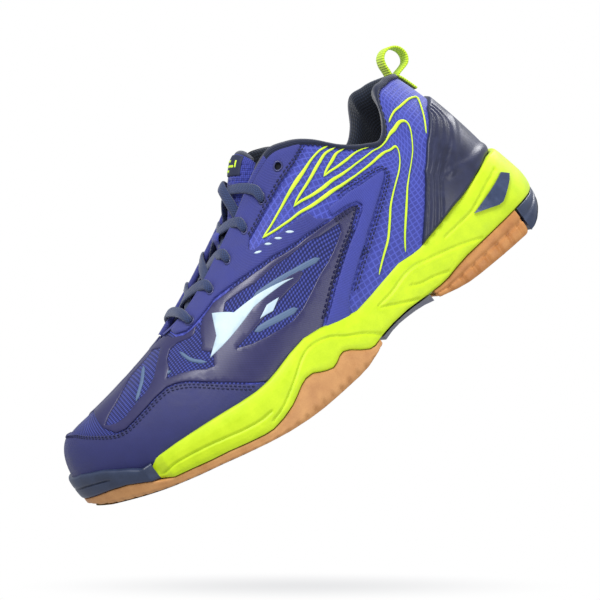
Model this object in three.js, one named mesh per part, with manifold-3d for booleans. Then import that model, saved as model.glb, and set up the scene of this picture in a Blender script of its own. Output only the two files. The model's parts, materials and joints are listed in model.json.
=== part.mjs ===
// Court shoe (left foot), millimetres, +X toward the toe, +Y outward (lateral), +Z up.
// The upper is a family of ribs standing round the sole outline; every panel is a
// patch of that surface with its own thickness and its own distance from it.
import * as THREE from 'three';
import { mergeVertices } from 'three/addons/utils/BufferGeometryUtils.js';
import Module from 'manifold-3d';
const wasm = await Module(); wasm.setup();

// ---------------- driving dimensions ----------------
const LENGTH = 285;          // heel to toe
const X0 = -LENGTH / 2, Y0 = -1.75; // places the origin under the middle of the shoe
const GAP = 0.35;            // clearance between touching pieces
const BASE_T = 1.0;          // base fabric thickness
const OVER_T = 0.9;          // overlay thickness
const COUNTER_T = 1.6;       // outer heel counter thickness
const LACE_R = 1.6;          // lace radius where it runs through the eyelets
const EYE_R = 2.7;           // eyelet radius
const TONGUE_R = 15.5;       // tongue roll radius
const US = 400, VS = 95;     // flat pattern scale of the rib coordinates

// sole outline at its widest, heel to toe, outer and inner side
const PLAN_LAT = [[0,0],[3,14],[10,25],[22,33],[40,37.5],[60,38.5],[80,38.2],[100,38.5],[120,40.5],[140,44.5],[160,49.5],[178,53],[195,54],[210,52.5],[225,48.5],[240,41.5],[253,33],[264,23.5],[273,13.5],[280,3],[284,-6],[285,-13]];
const PLAN_MED = [[0,0],[3,-14],[10,-25],[22,-32.5],[40,-36.5],[60,-36],[80,-34],[100,-31.5],[120,-30],[140,-31],[160,-34.5],[180,-40.5],[198,-46],[214,-49.5],[230,-50.5],[246,-49],[260,-45],[271,-39],[279,-31],[283.5,-22],[285,-13]];
// ribs: outline X, inset, foot height, top point x y z, lower handle out up, upper handle dx dy dz
const RL = [[0,7,26,25.5,0,103.8,-3.5,27,-9,0,-20],[5,7,26,28,8.5,105,-2,27,-8,4,-20],[22,6,25,36.5,15.5,106.8,1,25,-4,8,-20],[40,5,24,46,21.5,104,3,22,-1,7.5,-21],[50,4.5,23.5,51.5,24.8,92.5,4,20,0,6.5,-19],[60,4.5,23,58,26.8,85.5,4,19,0.5,6,-18],[75,4.5,22,67.5,27.6,88,4,19,1,6,-18],[90,4.5,21,78.5,27.3,95.8,4,21,2,6.5,-20],[105,5,20,89,25.8,107,4,24,3,7.5,-22],[120,5.5,19.5,99,23,113.2,4.5,26,3.5,8.5,-23],[130,6,19,108.5,20,115.4,5,27,3,10,-23],[138,6.5,18.5,117.5,16.8,112,5.5,27.5,2.5,11.5,-21],[146,7,18,126.5,14.2,106.8,6,27,2,13,-17],[154,7.5,17.7,134,13,101.8,6,26,1.5,14,-13],[162,8,17.5,143,12.5,96.6,6,25,1,15,-10.5],[170,8,17.3,152.5,12,92,6,24,0,16,-9],[178,8.5,17.3,162.5,12,87.2,6,22.5,0,16.5,-8],[186,8.5,17.5,173,12,82.3,5.5,21,0,17,-7],[194,8.5,17.8,183.5,11.5,78,5.5,20,0,17.5,-6],[201,8.5,18.3,192,10,75,5,19,0,18,-5],[207,8.5,18.8,198.5,7,73.2,5,18,0,20,-4],[213,8.5,19.3,203.5,3.3,72,4.5,17.5,0,22,-2],[219,8.5,20,208,0,71,4.5,17,0,24,0],[232,8.2,21.5,222,-1,67.9,4,16.5,0,23,0],[246,7.5,23,238,-3,64.8,3,16.5,2,20,0],[258,6.5,24.5,250,-5,63,2.5,17,5,16,0],[268,5.5,25.5,257,-6.5,62.3,2,18,9,12,0],[277,4,26.3,261.5,-7.5,61.9,1.5,19,13,7,0],[282.5,3.2,26.8,263.3,-8,61.7,1,19.5,15,2,0],[285,3,27,264,-8.2,61.6,0.5,20,15.5,-1.5,0]];
const RM = [[0,7,26,25.5,0,103.8,-3.5,27,-9,0,-20],[5,7,26,28,-8.5,105,-2,27,-8,-4,-20],[22,6,25,36.5,-15.5,106.4,1,25,-4,-8,-20],[40,5,24,46,-21,104,3,22,-1,-7.5,-21],[50,4.5,23.5,51.5,-23.8,93.5,4,20,0,-6.5,-19],[60,4.5,23,58,-25.4,87,4,19,0.5,-6,-18],[75,4,22,67.5,-26,89,4.5,19,1,-6,-18],[90,3.5,21,78.5,-25.6,96.4,5.5,21,2,-6.5,-20],[105,3,20,89,-24.2,107,6.5,24,3,-7.5,-22],[120,3,19.5,99,-22,113.2,7,26,3.5,-8.5,-23],[130,3,19,108.5,-19.4,115.4,7,28,3,-10,-23],[138,3.5,18.5,117.5,-16.6,112,7,28.5,2.5,-11.5,-21],[146,4,18,126.5,-14.2,106.8,7,28,2,-13,-17],[154,4.5,17.7,134,-13,101.8,7,27,1.5,-14,-13],[162,5,17.5,143,-12.5,96.6,7,26,1,-15,-10.5],[170,6,17.3,152.5,-12,92,7,25,0,-16,-9],[178,6.5,17.3,162.5,-12,87.2,6.5,24,0,-16.5,-8],[186,7,17.5,173,-12,82.3,6.5,23,0,-17,-7],[194,7.5,17.8,183.5,-11.5,78,6,22,0,-18,-6],[201,8,18.3,192,-10,75,6,21.5,0,-19,-5],[207,8,18.8,198.5,-7,73.2,6,21,0,-21,-4],[213,8,19.3,203.5,-3.3,72,5.5,20.5,0,-23,-2],[219,8,20,208,0,71,5.5,20,0,-26,0],[232,8,21.5,222,-1,67.9,5,20,0,-26,0],[246,7.5,23,238,-3,64.8,4,20,1,-24,0],[258,6.8,24.5,250,-5,63,3.5,20,3,-20,0],[268,6,25.3,257,-6.5,62.3,3,20,6,-17,0],[277,5,26,261.5,-7.5,61.9,2.5,20,10,-12,0],[282.5,3.7,26.6,263.3,-8,61.7,1.2,20,14,-6,0],[285,3,27,264,-8.2,61.6,0.5,20,15.5,-1.5,0]];
// heights along the shoe
const Z_BOT = [[0,13.6],[5,9],[10,5.5],[16,2],[20,.6],[26,0],[60,0],[68,.3],[75,1.4],[84,3.6],[97,6.8],[110,7.5],[120,6.5],[126,4.2],[133,1.9],[138,.6],[145,0],[160,0],[171,.2],[181,.9],[193,2.3],[205,4.4],[217,6.9],[228,9.3],[240,11.4],[251,13.6],[257,15],[264,16.9],[270,18.8],[277,21],[283,24],[285,26]];
const Z_GUM = [[0,15.5],[9.6,14.4],[23.5,14.3],[39.8,13.6],[50.8,12.9],[61.4,12.2],[69.3,10.9],[76,9.4],[82,8.9],[91.8,9.2],[103.6,9.9],[114,9.4],[122,8.4],[129.3,6.9],[132.7,7.4],[137.3,10.3],[142,14],[145.5,15.6],[148.7,15.1],[152,13.5],[155,12.8],[158.5,13.9],[161.8,15.4],[166,17.8],[170.6,18.1],[174.8,16.9],[179.8,14.4],[184.8,12.1],[192.3,10],[199.8,8.9],[205,9.4],[214.5,11.4],[224,13.6],[233.4,15.1],[242.6,16.9],[250.7,18.2],[256,20.2],[262,23.5],[269,27],[276,28.8],[285,29.9]];
const Z_LIME = [[0,42],[5,42.6],[13,43],[21,41.7],[30,39.9],[41,37.3],[52,35.6],[62,33.3],[70,31.8],[79,29.8],[84,29.8],[93,30.7],[104,28.7],[114,26.9],[125,25.6],[136,28],[147,31.4],[158,32.9],[169,31.7],[179,29.5],[187,28.2],[195,28],[205,28.7],[214,29.6],[224,30.4],[233,30.8],[242,31],[251,30.6],[257,29.9],[285,31]];
const Z_BUMP = [[257,30],[261,30.4],[265,33.5],[270,36.5],[274,39.3],[278,41],[282,42.6],[285,42.6]];
const Z_FEATHER = [[0,26],[22,25],[40,24],[60,23],[75,22],[90,21],[105,20],[120,19.5],[146,18],[178,17.3],[201,18.3],[219,20],[246,23],[268,25.4],[285,27]];
const TONGUE = [[205,69],[200,70],[190,72.8],[180,76.6],[170,80.8],[160,85.2],[152,89],[146,93],[141,97.6],[136,103.6],[130,111],[125,116.6],[121,120],[117,121.6],[113.5,121.4]];
// panel outlines in rib coordinates (s heel to toe, t feather to top)
const C_TOECAP = [[0.873,0.887],[0.897,0.911],[0.906,0.798],[0.914,0.682],[0.892,0.604],[0.871,0.531],[0.856,0.486],[0.839,0.476],[0.805,0.517],[0.777,0.546],[0.755,0.55],[0.741,0.523],[0.725,0.479],[0.707,0.425],[0.689,0.375],[0.672,0.32],[0.656,0.259],[0.638,0.199],[0.618,0.143]];
const C_WINA = [[0.862,0.641],[0.845,0.716],[0.813,0.816],[0.782,0.939],[0.757,0.993],[0.742,0.996],[0.734,0.947],[0.725,0.858],[0.734,0.816],[0.746,0.763],[0.761,0.693],[0.778,0.649],[0.806,0.621],[0.828,0.584],[0.844,0.585],[0.856,0.611]];
const C_WINC = [[0.746,0.605],[0.735,0.648],[0.729,0.715],[0.716,0.768],[0.698,0.779],[0.683,0.757],[0.671,0.737],[0.663,0.766],[0.656,0.805],[0.649,0.775],[0.659,0.735],[0.665,0.683],[0.668,0.645],[0.676,0.611],[0.67,0.565],[0.664,0.548],[0.669,0.509],[0.674,0.469],[0.687,0.485],[0.701,0.519],[0.718,0.544],[0.734,0.575]];
const C_WIND = [[0.629,0.636],[0.619,0.676],[0.615,0.689],[0.568,0.589],[0.5,0.521],[0.436,0.479],[0.397,0.489],[0.399,0.457],[0.41,0.426],[0.426,0.389],[0.44,0.364],[0.462,0.343],[0.482,0.319],[0.512,0.291],[0.536,0.287],[0.562,0.311],[0.587,0.344],[0.611,0.386],[0.634,0.445],[0.613,0.435],[0.554,0.416],[0.496,0.397],[0.483,0.41],[0.488,0.433],[0.511,0.457],[0.553,0.494],[0.584,0.516],[0.612,0.554]];
const C_STRAPIN = [[0.643,0.884],[0.639,0.831],[0.623,0.784],[0.599,0.721],[0.571,0.658],[0.539,0.607],[0.504,0.562],[0.471,0.529],[0.44,0.515],[0.407,0.526],[0.371,0.55],[0.357,0.561],[0.352,0.553],[0.359,0.515],[0.379,0.438],[0.407,0.368],[0.446,0.264],[0.472,0.197],[0.494,0.146]];
const C_STRAPOUT = [[0.545,0.701],[0.511,0.644],[0.478,0.609],[0.447,0.587],[0.415,0.598],[0.378,0.62],[0.343,0.672],[0.307,0.733],[0.283,0.755],[0.281,0.737],[0.288,0.682],[0.301,0.628],[0.316,0.561],[0.344,0.441],[0.37,0.339],[0.397,0.26],[0.423,0.184],[0.436,0.14],[0.45,0.096]];
const C_SEAM = [[0.549,0.734],[0.541,0.764],[0.519,0.76],[0.502,0.764],[0.481,0.773],[0.462,0.781],[0.442,0.797],[0.42,0.842],[0.395,0.909],[0.372,0.976]];
const C_COUNTER = [[0.044,0.713],[0.057,0.679],[0.122,0.631],[0.159,0.568],[0.189,0.541],[0.219,0.531],[0.245,0.439],[0.268,0.314],[0.288,0.194],[0.297,0.138]];
const EYES = [[.662,.85],[.62,.857],[.582,.85],[.539,.846],[.489,.835],[.447,.875]];

// ---------------- curves ----------------
const lin = (T, x) => { if (x <= T[0][0]) return T[0][1]; for (let i = 1; i < T.length; i++) if (x <= T[i][0]) { const a = T[i - 1], b = T[i]; return a[1] + (b[1] - a[1]) * (x - a[0]) / (b[0] - a[0]); } return T[T.length - 1][1]; };
function crom(k, Y, x) {
  const n = k.length; let i = 0; while (i < n - 2 && x >= k[i + 1]) i++;
  const d = j => Y[j + 1].map((v, c) => (v - Y[j][c]) / (k[j + 1] - k[j]));
  const tan = j => { if (j === 0) return d(0); if (j === n - 1) return d(n - 2); const a = d(j - 1), b = d(j), h0 = k[j] - k[j - 1], h1 = k[j + 1] - k[j]; return a.map((v, c) => (h1 * v + h0 * b[c]) / (h0 + h1)); };
  const H = k[i + 1] - k[i], t = (x - k[i]) / H, t2 = t * t, t3 = t2 * t, m0 = tan(i), m1 = tan(i + 1);
  return Y[i].map((v, c) => (2 * t3 - 3 * t2 + 1) * v + (t3 - 2 * t2 + t) * H * m0[c] + (-2 * t3 + 3 * t2) * Y[i + 1][c] + (t3 - t2) * H * m1[c]);
}
function makePlan(P, q) {
  const ext = [q[1], ...P, q[q.length - 2]], k = [0];
  for (let i = 1; i < ext.length; i++) k.push(k[i - 1] + Math.hypot(ext[i][0] - ext[i - 1][0], ext[i][1] - ext[i - 1][1]));
  const N = 1200, C = [], L = [0], a = k[1], b = k[k.length - 2];
  for (let i = 0; i < N; i++) C.push(crom(k, ext, a + (b - a) * i / (N - 1)));
  for (let i = 1; i < N; i++) L.push(L[i - 1] + Math.hypot(C[i][0] - C[i - 1][0], C[i][1] - C[i - 1][1]));
  return { C, L: L.map(v => v / L[N - 1]) };
}
const PL = { 1: makePlan(PLAN_LAT, PLAN_MED), '-1': makePlan(PLAN_MED, PLAN_LAT) };
const rawS = (side, X) => { const { C, L } = PL[side]; if (X <= 0) return 0; for (let i = 1; i < C.length; i++) if (C[i][0] >= X) return L[i - 1] + (L[i] - L[i - 1]) * (X - C[i - 1][0]) / (C[i][0] - C[i - 1][0]); return 1; };
// both sides share one arc coordinate, so that equal values stand opposite each other
const SHARE = RL.map(r => [rawS(1, r[0]), rawS(-1, r[0])]); SHARE[0] = [0, 0]; SHARE[SHARE.length - 1] = [1, 1];
function plan(side, s) {
  if (side < 0) s = lin(SHARE, s);
  const { C, L } = PL[side]; let lo = 0, hi = L.length - 1; s = Math.min(1, Math.max(0, s));
  while (hi - lo > 1) { const m = (lo + hi) >> 1; if (L[m] <= s) lo = m; else hi = m; }
  const f = (s - L[lo]) / (L[hi] - L[lo]); return [C[lo][0] + (C[hi][0] - C[lo][0]) * f, C[lo][1] + (C[hi][1] - C[lo][1]) * f];
}
function planN(side, s) {
  if (s < 1e-6) return [-1, 0]; if (s > 1 - 1e-6) return [1, 0];
  const a = plan(side, s - 1e-3), b = plan(side, s + 1e-3), l = Math.hypot(b[0] - a[0], b[1] - a[1]);
  return [-side * (b[1] - a[1]) / l, side * (b[0] - a[0]) / l];
}
const sOfX = (side, X) => { const r = rawS(side, X); return side > 0 ? r : lin(SHARE.map(p => [p[1], p[0]]), r); };
const RIB = {};
for (const side of [1, -1]) {
  const R = side > 0 ? RL : RM, n = R.length, sk = RL.map(r => sOfX(1, r[0])); sk[0] = 0; sk[n - 1] = 1;
  RIB[side] = { sk, C: R.map((r, i) => { const p = plan(side, sk[i]), m = planN(side, sk[i]), B = [p[0] - m[0] * r[1], p[1] - m[1] * r[1], r[2]], T = [r[3], r[4], r[5]];
    return [...B, B[0] + m[0] * r[6], B[1] + m[1] * r[6], B[2] + r[7], T[0] + r[8], T[1] + r[9], T[2] + r[10], ...T]; }) };
}
function upper(side, s, t) {
  if (s < 1e-6 || s > 1 - 1e-6) side = 1;
  const r = crom(RIB[side].sk, RIB[side].C, s), u = 1 - t, a = u * u * u, b = 3 * u * u * t, c = 3 * u * t * t, d = t * t * t;
  return [0, 1, 2].map(i => a * r[i] + b * r[3 + i] + c * r[6 + i] + d * r[9 + i]);
}
function normal(side, s, t) {
  if (s < 1e-6 || s > 1 - 1e-6) side = 1;
  const e = 2e-3, s0 = Math.max(0, s - e), s1 = Math.min(1, s + e), t0 = Math.max(0, t - e), t1 = Math.min(1, t + e);
  const A = upper(side, s1, t), B = upper(side, s0, t), C = upper(side, s, t1), D = upper(side, s, t0);
  const u = A.map((v, i) => v - B[i]), w = C.map((v, i) => v - D[i]);
  const n = [u[1] * w[2] - u[2] * w[1], u[2] * w[0] - u[0] * w[2], u[0] * w[1] - u[1] * w[0]], l = Math.hypot(...n) * -side;
  return n.map(v => v / l);
}
const offs = (side, s, t, o) => { const p = upper(side, s, t), n = normal(side, s, t); return p.map((v, i) => v + n[i] * o); };
// every panel is laid on one shared lattice of facets, so that stacked layers stay parallel
const DU = 16, DV = VS / 7, LAT = new Map();
function node(i, j) { const k = i + '_' + j; if (!LAT.has(k)) { const u = i * DU / US, [sd, s] = fold(u), t = Math.min(1, Math.max(0, j * DV / VS)); let n = normal(sd, s, t); if (t > .999 && s > S_RIDGE) { const m = normal(-sd, s, t), l = Math.hypot(...n.map((v, c) => v + m[c])); n = n.map((v, c) => (v + m[c]) / l); } LAT.set(k, { p: upper(sd, s, t), n }); } return LAT.get(k); }
function laid(u, v, o) { const x = u * US / DU, y = v * VS / DV, i = Math.floor(x + 1e-9), j = Math.floor(y + 1e-9), a = x - i, b = y - j, A = node(i, j), B = a >= b ? node(i + 1, j) : node(i, j + 1), C = node(i + 1, j + 1), w = a >= b ? [1 - a, a - b, b] : [1 - b, b - a, a];
  return [0, 1, 2].map(c => w[0] * (A.p[c] + A.n[c] * o) + w[1] * (B.p[c] + B.n[c] * o) + w[2] * (C.p[c] + C.n[c] * o)); }
const S_RIDGE = .70;
// heel crossing coordinate: u<0 inner side, u>0 outer side; toe crossing: u>1 inner side
const fold = u => u < 0 ? [-1, -u] : u > 1 ? [-1, 2 - u] : [1, u];
const wallTop = X => X > 257 ? lin(Z_BUMP, X) : lin(Z_LIME, X);
const put = (side, s, t, o) => laid(side > 0 ? s : -s, t, o);
function tAbove(side, s, clear) { let t = 0.02; while (t < .8) { const p = put(side, s, t, 0.6); if (p[2] > wallTop(plan(side, s)[0]) + clear) return t; t += .004; } return t; }

// ---------------- solids ----------------
function solid(V, F) { const g = new THREE.BufferGeometry(); g.setAttribute('position', new THREE.Float32BufferAttribute(V.flat(), 3)); g.setIndex(F.flat()); return mergeVertices(g, 1e-4); }
function toManifold(g) { g = g.clone(); g.deleteAttribute('normal'); g.deleteAttribute('uv'); g = mergeVertices(g, 1e-4); return new wasm.Manifold(new wasm.Mesh({ numProp: 3, vertProperties: new Float32Array(g.attributes.position.array), triVerts: new Uint32Array(g.index.array) })); }
function fromManifold(m) { const q = m.getMesh(), g = new THREE.BufferGeometry(), V = []; for (let i = 0; i < q.numVert; i++) V.push(q.vertProperties[i * q.numProp], q.vertProperties[i * q.numProp + 1], q.vertProperties[i * q.numProp + 2]); g.setAttribute('position', new THREE.Float32BufferAttribute(V, 3)); g.setIndex(Array.from(q.triVerts)); return g; }
const prism = (poly, z0, z1) => { const g = new THREE.ExtrudeGeometry(new THREE.Shape(poly.map(p => new THREE.Vector2(p[0], p[1]))), { depth: z1 - z0, bevelEnabled: false, steps: 1, curveSegments: 1 }); g.translate(0, 0, z0); return toManifold(g); };
const bump = (x, y) => 2e-5 * (x * x + y * y) + 1.3e-5 * x * y;
// flat slab on a grid, slightly dished so that its facets stay separate, cut to an outline, then laid on the surface
function panel(poly, map, { o0 = 0, o1 = 1, du = DU, dv = DV, minus = [] } = {}) {
  const P = poly.map(p => [p[0] * US, p[1] * VS]);
  const xs = P.map(p => p[0]), ys = P.map(p => p[1]), x0 = (Math.floor(Math.min(...xs) / du + 1e-6) - (Math.abs(Math.min(...xs) / du - Math.round(Math.min(...xs) / du)) < 1e-6 ? 1 : 0)) * du, y0 = (Math.floor(Math.min(...ys) / dv + 1e-6) - (Math.abs(Math.min(...ys) / dv - Math.round(Math.min(...ys) / dv)) < 1e-6 ? 1 : 0)) * dv;
  const nx = Math.floor((Math.max(...xs) - x0) / du + 1e-6) + 1, ny = Math.floor((Math.max(...ys) - y0) / dv + 1e-6) + 1, x1 = x0 + nx * du, y1 = y0 + ny * dv, V = [], F = [], id = (i, j, k) => (k * (ny + 1) + j) * (nx + 1) + i;
  for (let k = 0; k < 2; k++) for (let j = 0; j <= ny; j++) for (let i = 0; i <= nx; i++) { const x = x0 + (x1 - x0) * i / nx, y = y0 + (y1 - y0) * j / ny; V.push([x, y, k * 4 + bump(x, y)]); }
  const q = (a, b, c, d) => F.push([a, b, c], [a, c, d]);
  for (let j = 0; j < ny; j++) for (let i = 0; i < nx; i++) { q(id(i, j, 1), id(i + 1, j, 1), id(i + 1, j + 1, 1), id(i, j + 1, 1)); q(id(i, j, 0), id(i, j + 1, 0), id(i + 1, j + 1, 0), id(i + 1, j, 0)); }
  for (let i = 0; i < nx; i++) { q(id(i, 0, 0), id(i + 1, 0, 0), id(i + 1, 0, 1), id(i, 0, 1)); q(id(i + 1, ny, 0), id(i, ny, 0), id(i, ny, 1), id(i + 1, ny, 1)); }
  for (let j = 0; j < ny; j++) { q(id(0, j + 1, 0), id(0, j, 0), id(0, j, 1), id(0, j + 1, 1)); q(id(nx, j, 0), id(nx, j + 1, 0), id(nx, j + 1, 1), id(nx, j, 1)); }
  let m = toManifold(solid(V, F)).intersect(prism(P, -20, 60));
  for (const h of minus) m = m.subtract(prism(h.map(p => [p[0] * US, p[1] * VS]), -20, 60));
  const g = fromManifold(m), A = g.attributes.position;
  for (let i = 0; i < A.count; i++) { const x = A.getX(i), y = A.getY(i), k = A.getZ(i) - bump(x, y) > 2 ? 1 : 0; const p = map(x / US, y / VS, k ? o1 : o0, k); A.setXYZ(i, ...p); }
  return flipIfNeeded(g);
}
function volume(g) { const A = g.attributes.position, I = g.index.array; let v = 0; const a = new THREE.Vector3(), b = new THREE.Vector3(), c = new THREE.Vector3(); for (let i = 0; i < I.length; i += 3) { a.fromBufferAttribute(A, I[i]); b.fromBufferAttribute(A, I[i + 1]); c.fromBufferAttribute(A, I[i + 2]); v += a.dot(b.cross(c)); } return v / 6; }
function flipIfNeeded(g) { if (volume(g) < 0) { const I = Array.from(g.index.array); for (let i = 0; i < I.length; i += 3) [I[i + 1], I[i + 2]] = [I[i + 2], I[i + 1]]; g.setIndex(I); } return g; }
const onFold = (u, v, o) => laid(u, v, o);
// shell over rows of lattice nodes whose matching borders weld together; open borders get walls
function latticeShell(rows, o0, o1) {
  const key = p => p.map(v => Math.round(v * 100)).join(','), id = new Map(), P = [], idx = rows.map(r => r.map(q => { const k = key(q.f(0)); if (!id.has(k)) { id.set(k, P.length); P.push(q); } return id.get(k); }));
  const F = []; for (let i = 0; i + 1 < idx.length; i++) for (let j = 0; j + 1 < idx[i].length; j++) { const a = idx[i][j], b = idx[i + 1][j], c = idx[i + 1][j + 1], d = idx[i][j + 1], up = rows[i + 1][j].u > rows[i][j].u; for (const f of (rows[i][j].u > 0 && rows[i + 1][j].u > 0 ? [[a, b, c], [a, c, d]] : [[a, b, d], [b, c, d]])) if (new Set(f).size === 3) F.push(f); }
  const n = P.length, V = [...P.map(q => q.f(o1)), ...P.map(q => q.f(o0))];
  const E = new Set(F.flatMap(f => [0, 1, 2].map(i => f[i] + '_' + f[(i + 1) % 3]))), G = [...F, ...F.map(f => [f[0] + n, f[2] + n, f[1] + n])];
  for (const e of E) { const [a, b] = e.split('_').map(Number); if (!E.has(b + '_' + a)) G.push([b, a, a + n], [b, a + n, b + n]); }
  return flipIfNeeded(solid(V, G));
}
const range = (a, b, n) => Array.from({ length: n + 1 }, (_, i) => a + (b - a) * i / n);
// loft of open sections that start and end on the spine; ends are capped
function loft(us, sec, capped) {
  const S = us.map(sec), m = S[0].length, V = S.flat(), F = [];
  const closed = !capped, n = S.length;
  for (let i = 0; i + 1 < n; i++) for (let j = 0; j + 1 < m; j++) { const a = i * m + j, b = a + m, c = b + 1, d = a + 1, dist = (p, q) => Math.hypot(...V[p].map((v, k) => v - V[q][k])); if (j === 0 || (j < m - 2 && dist(a, c) <= dist(b, d))) F.push([a, b, c], [a, c, d]); else F.push([a, b, d], [b, c, d]); }
  if (capped) for (const [i, flip] of [[0, false], [n - 1, true]]) {
    const Q = S[i], c = new THREE.Vector3(...Q[0]), ex = new THREE.Vector3(Q[(m >> 1)][0] - Q[0][0], Q[(m >> 1)][1] - Q[0][1], 0).normalize();
    const T = THREE.ShapeUtils.triangulateShape(Q.map(p => new THREE.Vector2((p[0] - c.x) * ex.x + (p[1] - c.y) * ex.y, p[2] - c.z)), []);
    for (const t of T) F.push(flip ? [i * m + t[0], i * m + t[1], i * m + t[2]] : [i * m + t[2], i * m + t[1], i * m + t[0]]);
  }
  let g = solid(V, F); const I = g.index.array, K = []; for (let i = 0; i < I.length; i += 3) if (I[i] !== I[i + 1] && I[i + 1] !== I[i + 2] && I[i] !== I[i + 2]) K.push(I[i], I[i + 1], I[i + 2]); g.setIndex(K);
  return orient(g);
}
// make the winding of a closed mesh consistent through manifold's own test; falls back to a neighbour walk
function orient(g) {
  const I = Array.from(g.index.array), nf = I.length / 3, E = new Map();
  for (let f = 0; f < nf; f++) for (let i = 0; i < 3; i++) { const a = I[f * 3 + i], b = I[f * 3 + (i + 1) % 3], k = Math.min(a, b) + '_' + Math.max(a, b); if (!E.has(k)) E.set(k, []); E.get(k).push([f, a < b]); }
  const flip = new Array(nf).fill(null); const st = [0]; flip[0] = false;
  while (st.length) { const f = st.pop(); for (let i = 0; i < 3; i++) { const a = I[f * 3 + i], b = I[f * 3 + (i + 1) % 3], L = E.get(Math.min(a, b) + '_' + Math.max(a, b)), me = L.find(e => e[0] === f); for (const e of L) if (e[0] !== f && flip[e[0]] === null) { flip[e[0]] = (e[1] === me[1]) ? !flip[f] : flip[f]; st.push(e[0]); } } }
  for (let f = 0; f < nf; f++) if (flip[f]) [I[f * 3 + 1], I[f * 3 + 2]] = [I[f * 3 + 2], I[f * 3 + 1]];
  g.setIndex(I); return flipIfNeeded(g);
}
const inset = (side, s, d, z) => { if (s < 1e-6 || s > 1 - 1e-6) side = 1; const p = plan(side, s), m = planN(side, s); return [p[0] - m[0] * d, p[1] - m[1] * d, z]; };
const PX = (side, s) => plan(s > 1 - 1e-6 ? 1 : side, s)[0];
function spine(s) { const a = plan(1, s), b = plan(-1, s); const x = (a[0] + b[0]) / 2; return [x > 250 ? 250 + (x - 250) * .2 : x < 34 ? 34 - (34 - x) * .2 : x, (a[1] + b[1]) / 2 * .9]; }
// joins vertices closer than the tolerance after a cut and drops the faces that collapse
function tidy(g, tol = .03) {
  const A = g.attributes.position, n = A.count, map = Array.from({ length: n }, (_, i) => i), P = Array.from({ length: n }, (_, i) => [A.getX(i), A.getY(i), A.getZ(i)]);
  for (let i = 0; i < n; i++) for (let j = 0; j < i; j++) if (map[j] === j && Math.abs(P[i][0] - P[j][0]) < tol && Math.hypot(P[i][0] - P[j][0], P[i][1] - P[j][1], P[i][2] - P[j][2]) < tol) { map[i] = j; break; }
  const I = Array.from(g.index.array).map(i => map[i]), F = new Map(); for (let i = 0; i < I.length; i += 3) { const t = [I[i], I[i + 1], I[i + 2]]; if (new Set(t).size < 3) continue; const k = [...t].sort((a, b) => a - b).join('_'); if (F.has(k)) F.delete(k); else F.set(k, t); }
  return solid(P, [...F.values()]);
}
const box = (x0, x1, y0, y1, z0, z1) => { const g = new THREE.BoxGeometry(x1 - x0, y1 - y0, z1 - z0); g.translate((x0 + x1) / 2, (y0 + y1) / 2, (z0 + z1) / 2); return toManifold(g); };
const cut = (g, ...b) => { let m = toManifold(g); for (const x of b) m = m.subtract(x); return tidy(fromManifold(m.decompose().reduce((p, q) => q.volume() > p.volume() ? q : p))); };
const keep = (g, b) => tidy(fromManifold(toManifold(g).intersect(b)));
const ring = n => range(-1, 1, n);
function tube(pts, r, steps, sides = 8, closed = false) {
  const sh = new THREE.Shape(Array.from({ length: sides }, (_, i) => new THREE.Vector2(Math.cos(i / sides * 2 * Math.PI) * r, Math.sin(i / sides * 2 * Math.PI) * r)));
  return new THREE.ExtrudeGeometry(sh, { steps, bevelEnabled: false, curveSegments: 1, extrudePath: new THREE.CatmullRomCurve3(pts.map(p => new THREE.Vector3(...p)), closed, 'centripetal') });
}
// a strip with a rectangular section swept through stations {c, w (half width vector), n (thickness vector)}
function strip(st) {
  const V = [], F = [], m = st.length;
  for (const q of st) for (const [a, b] of [[-1, -.5], [1, -.5], [1, .5], [-1, .5]]) V.push(q.c.map((v, i) => v + q.w[i] * a + q.n[i] * b));
  for (let i = 0; i + 1 < m; i++) for (let j = 0; j < 4; j++) { const a = i * 4 + j, b = i * 4 + (j + 1) % 4; F.push([a, b, b + 4], [a, b + 4, a + 4]); }
  F.push([0, 2, 1], [0, 3, 2]); const e = (m - 1) * 4; F.push([e, e + 1, e + 2], [e, e + 2, e + 3]);
  return orient(solid(V, F));
}

// ---------------- parts ----------------
const group = new THREE.Group(); const made = {};
function add(name, geometry, color, roughness, metalness = 0) {
  const g = geometry.index ? geometry : mergeVertices(geometry); const mesh = new THREE.Mesh(g, new THREE.MeshStandardMaterial({ color, roughness, metalness }));
  mesh.name = name; mesh.position.set(X0, Y0, 0); group.add(mesh); made[name] = g; return g;
}
const LIME = 0xc4e61e, BLUE = 0x4a4fae, FILM = 0x352f66, NAVY = 0x2c3350, SLATE = 0x44546e, GUM = 0xc08a4c, LACE = 0x24335c, DARK = 0x161d2c, WHITE = 0xcfdfe4;

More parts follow.
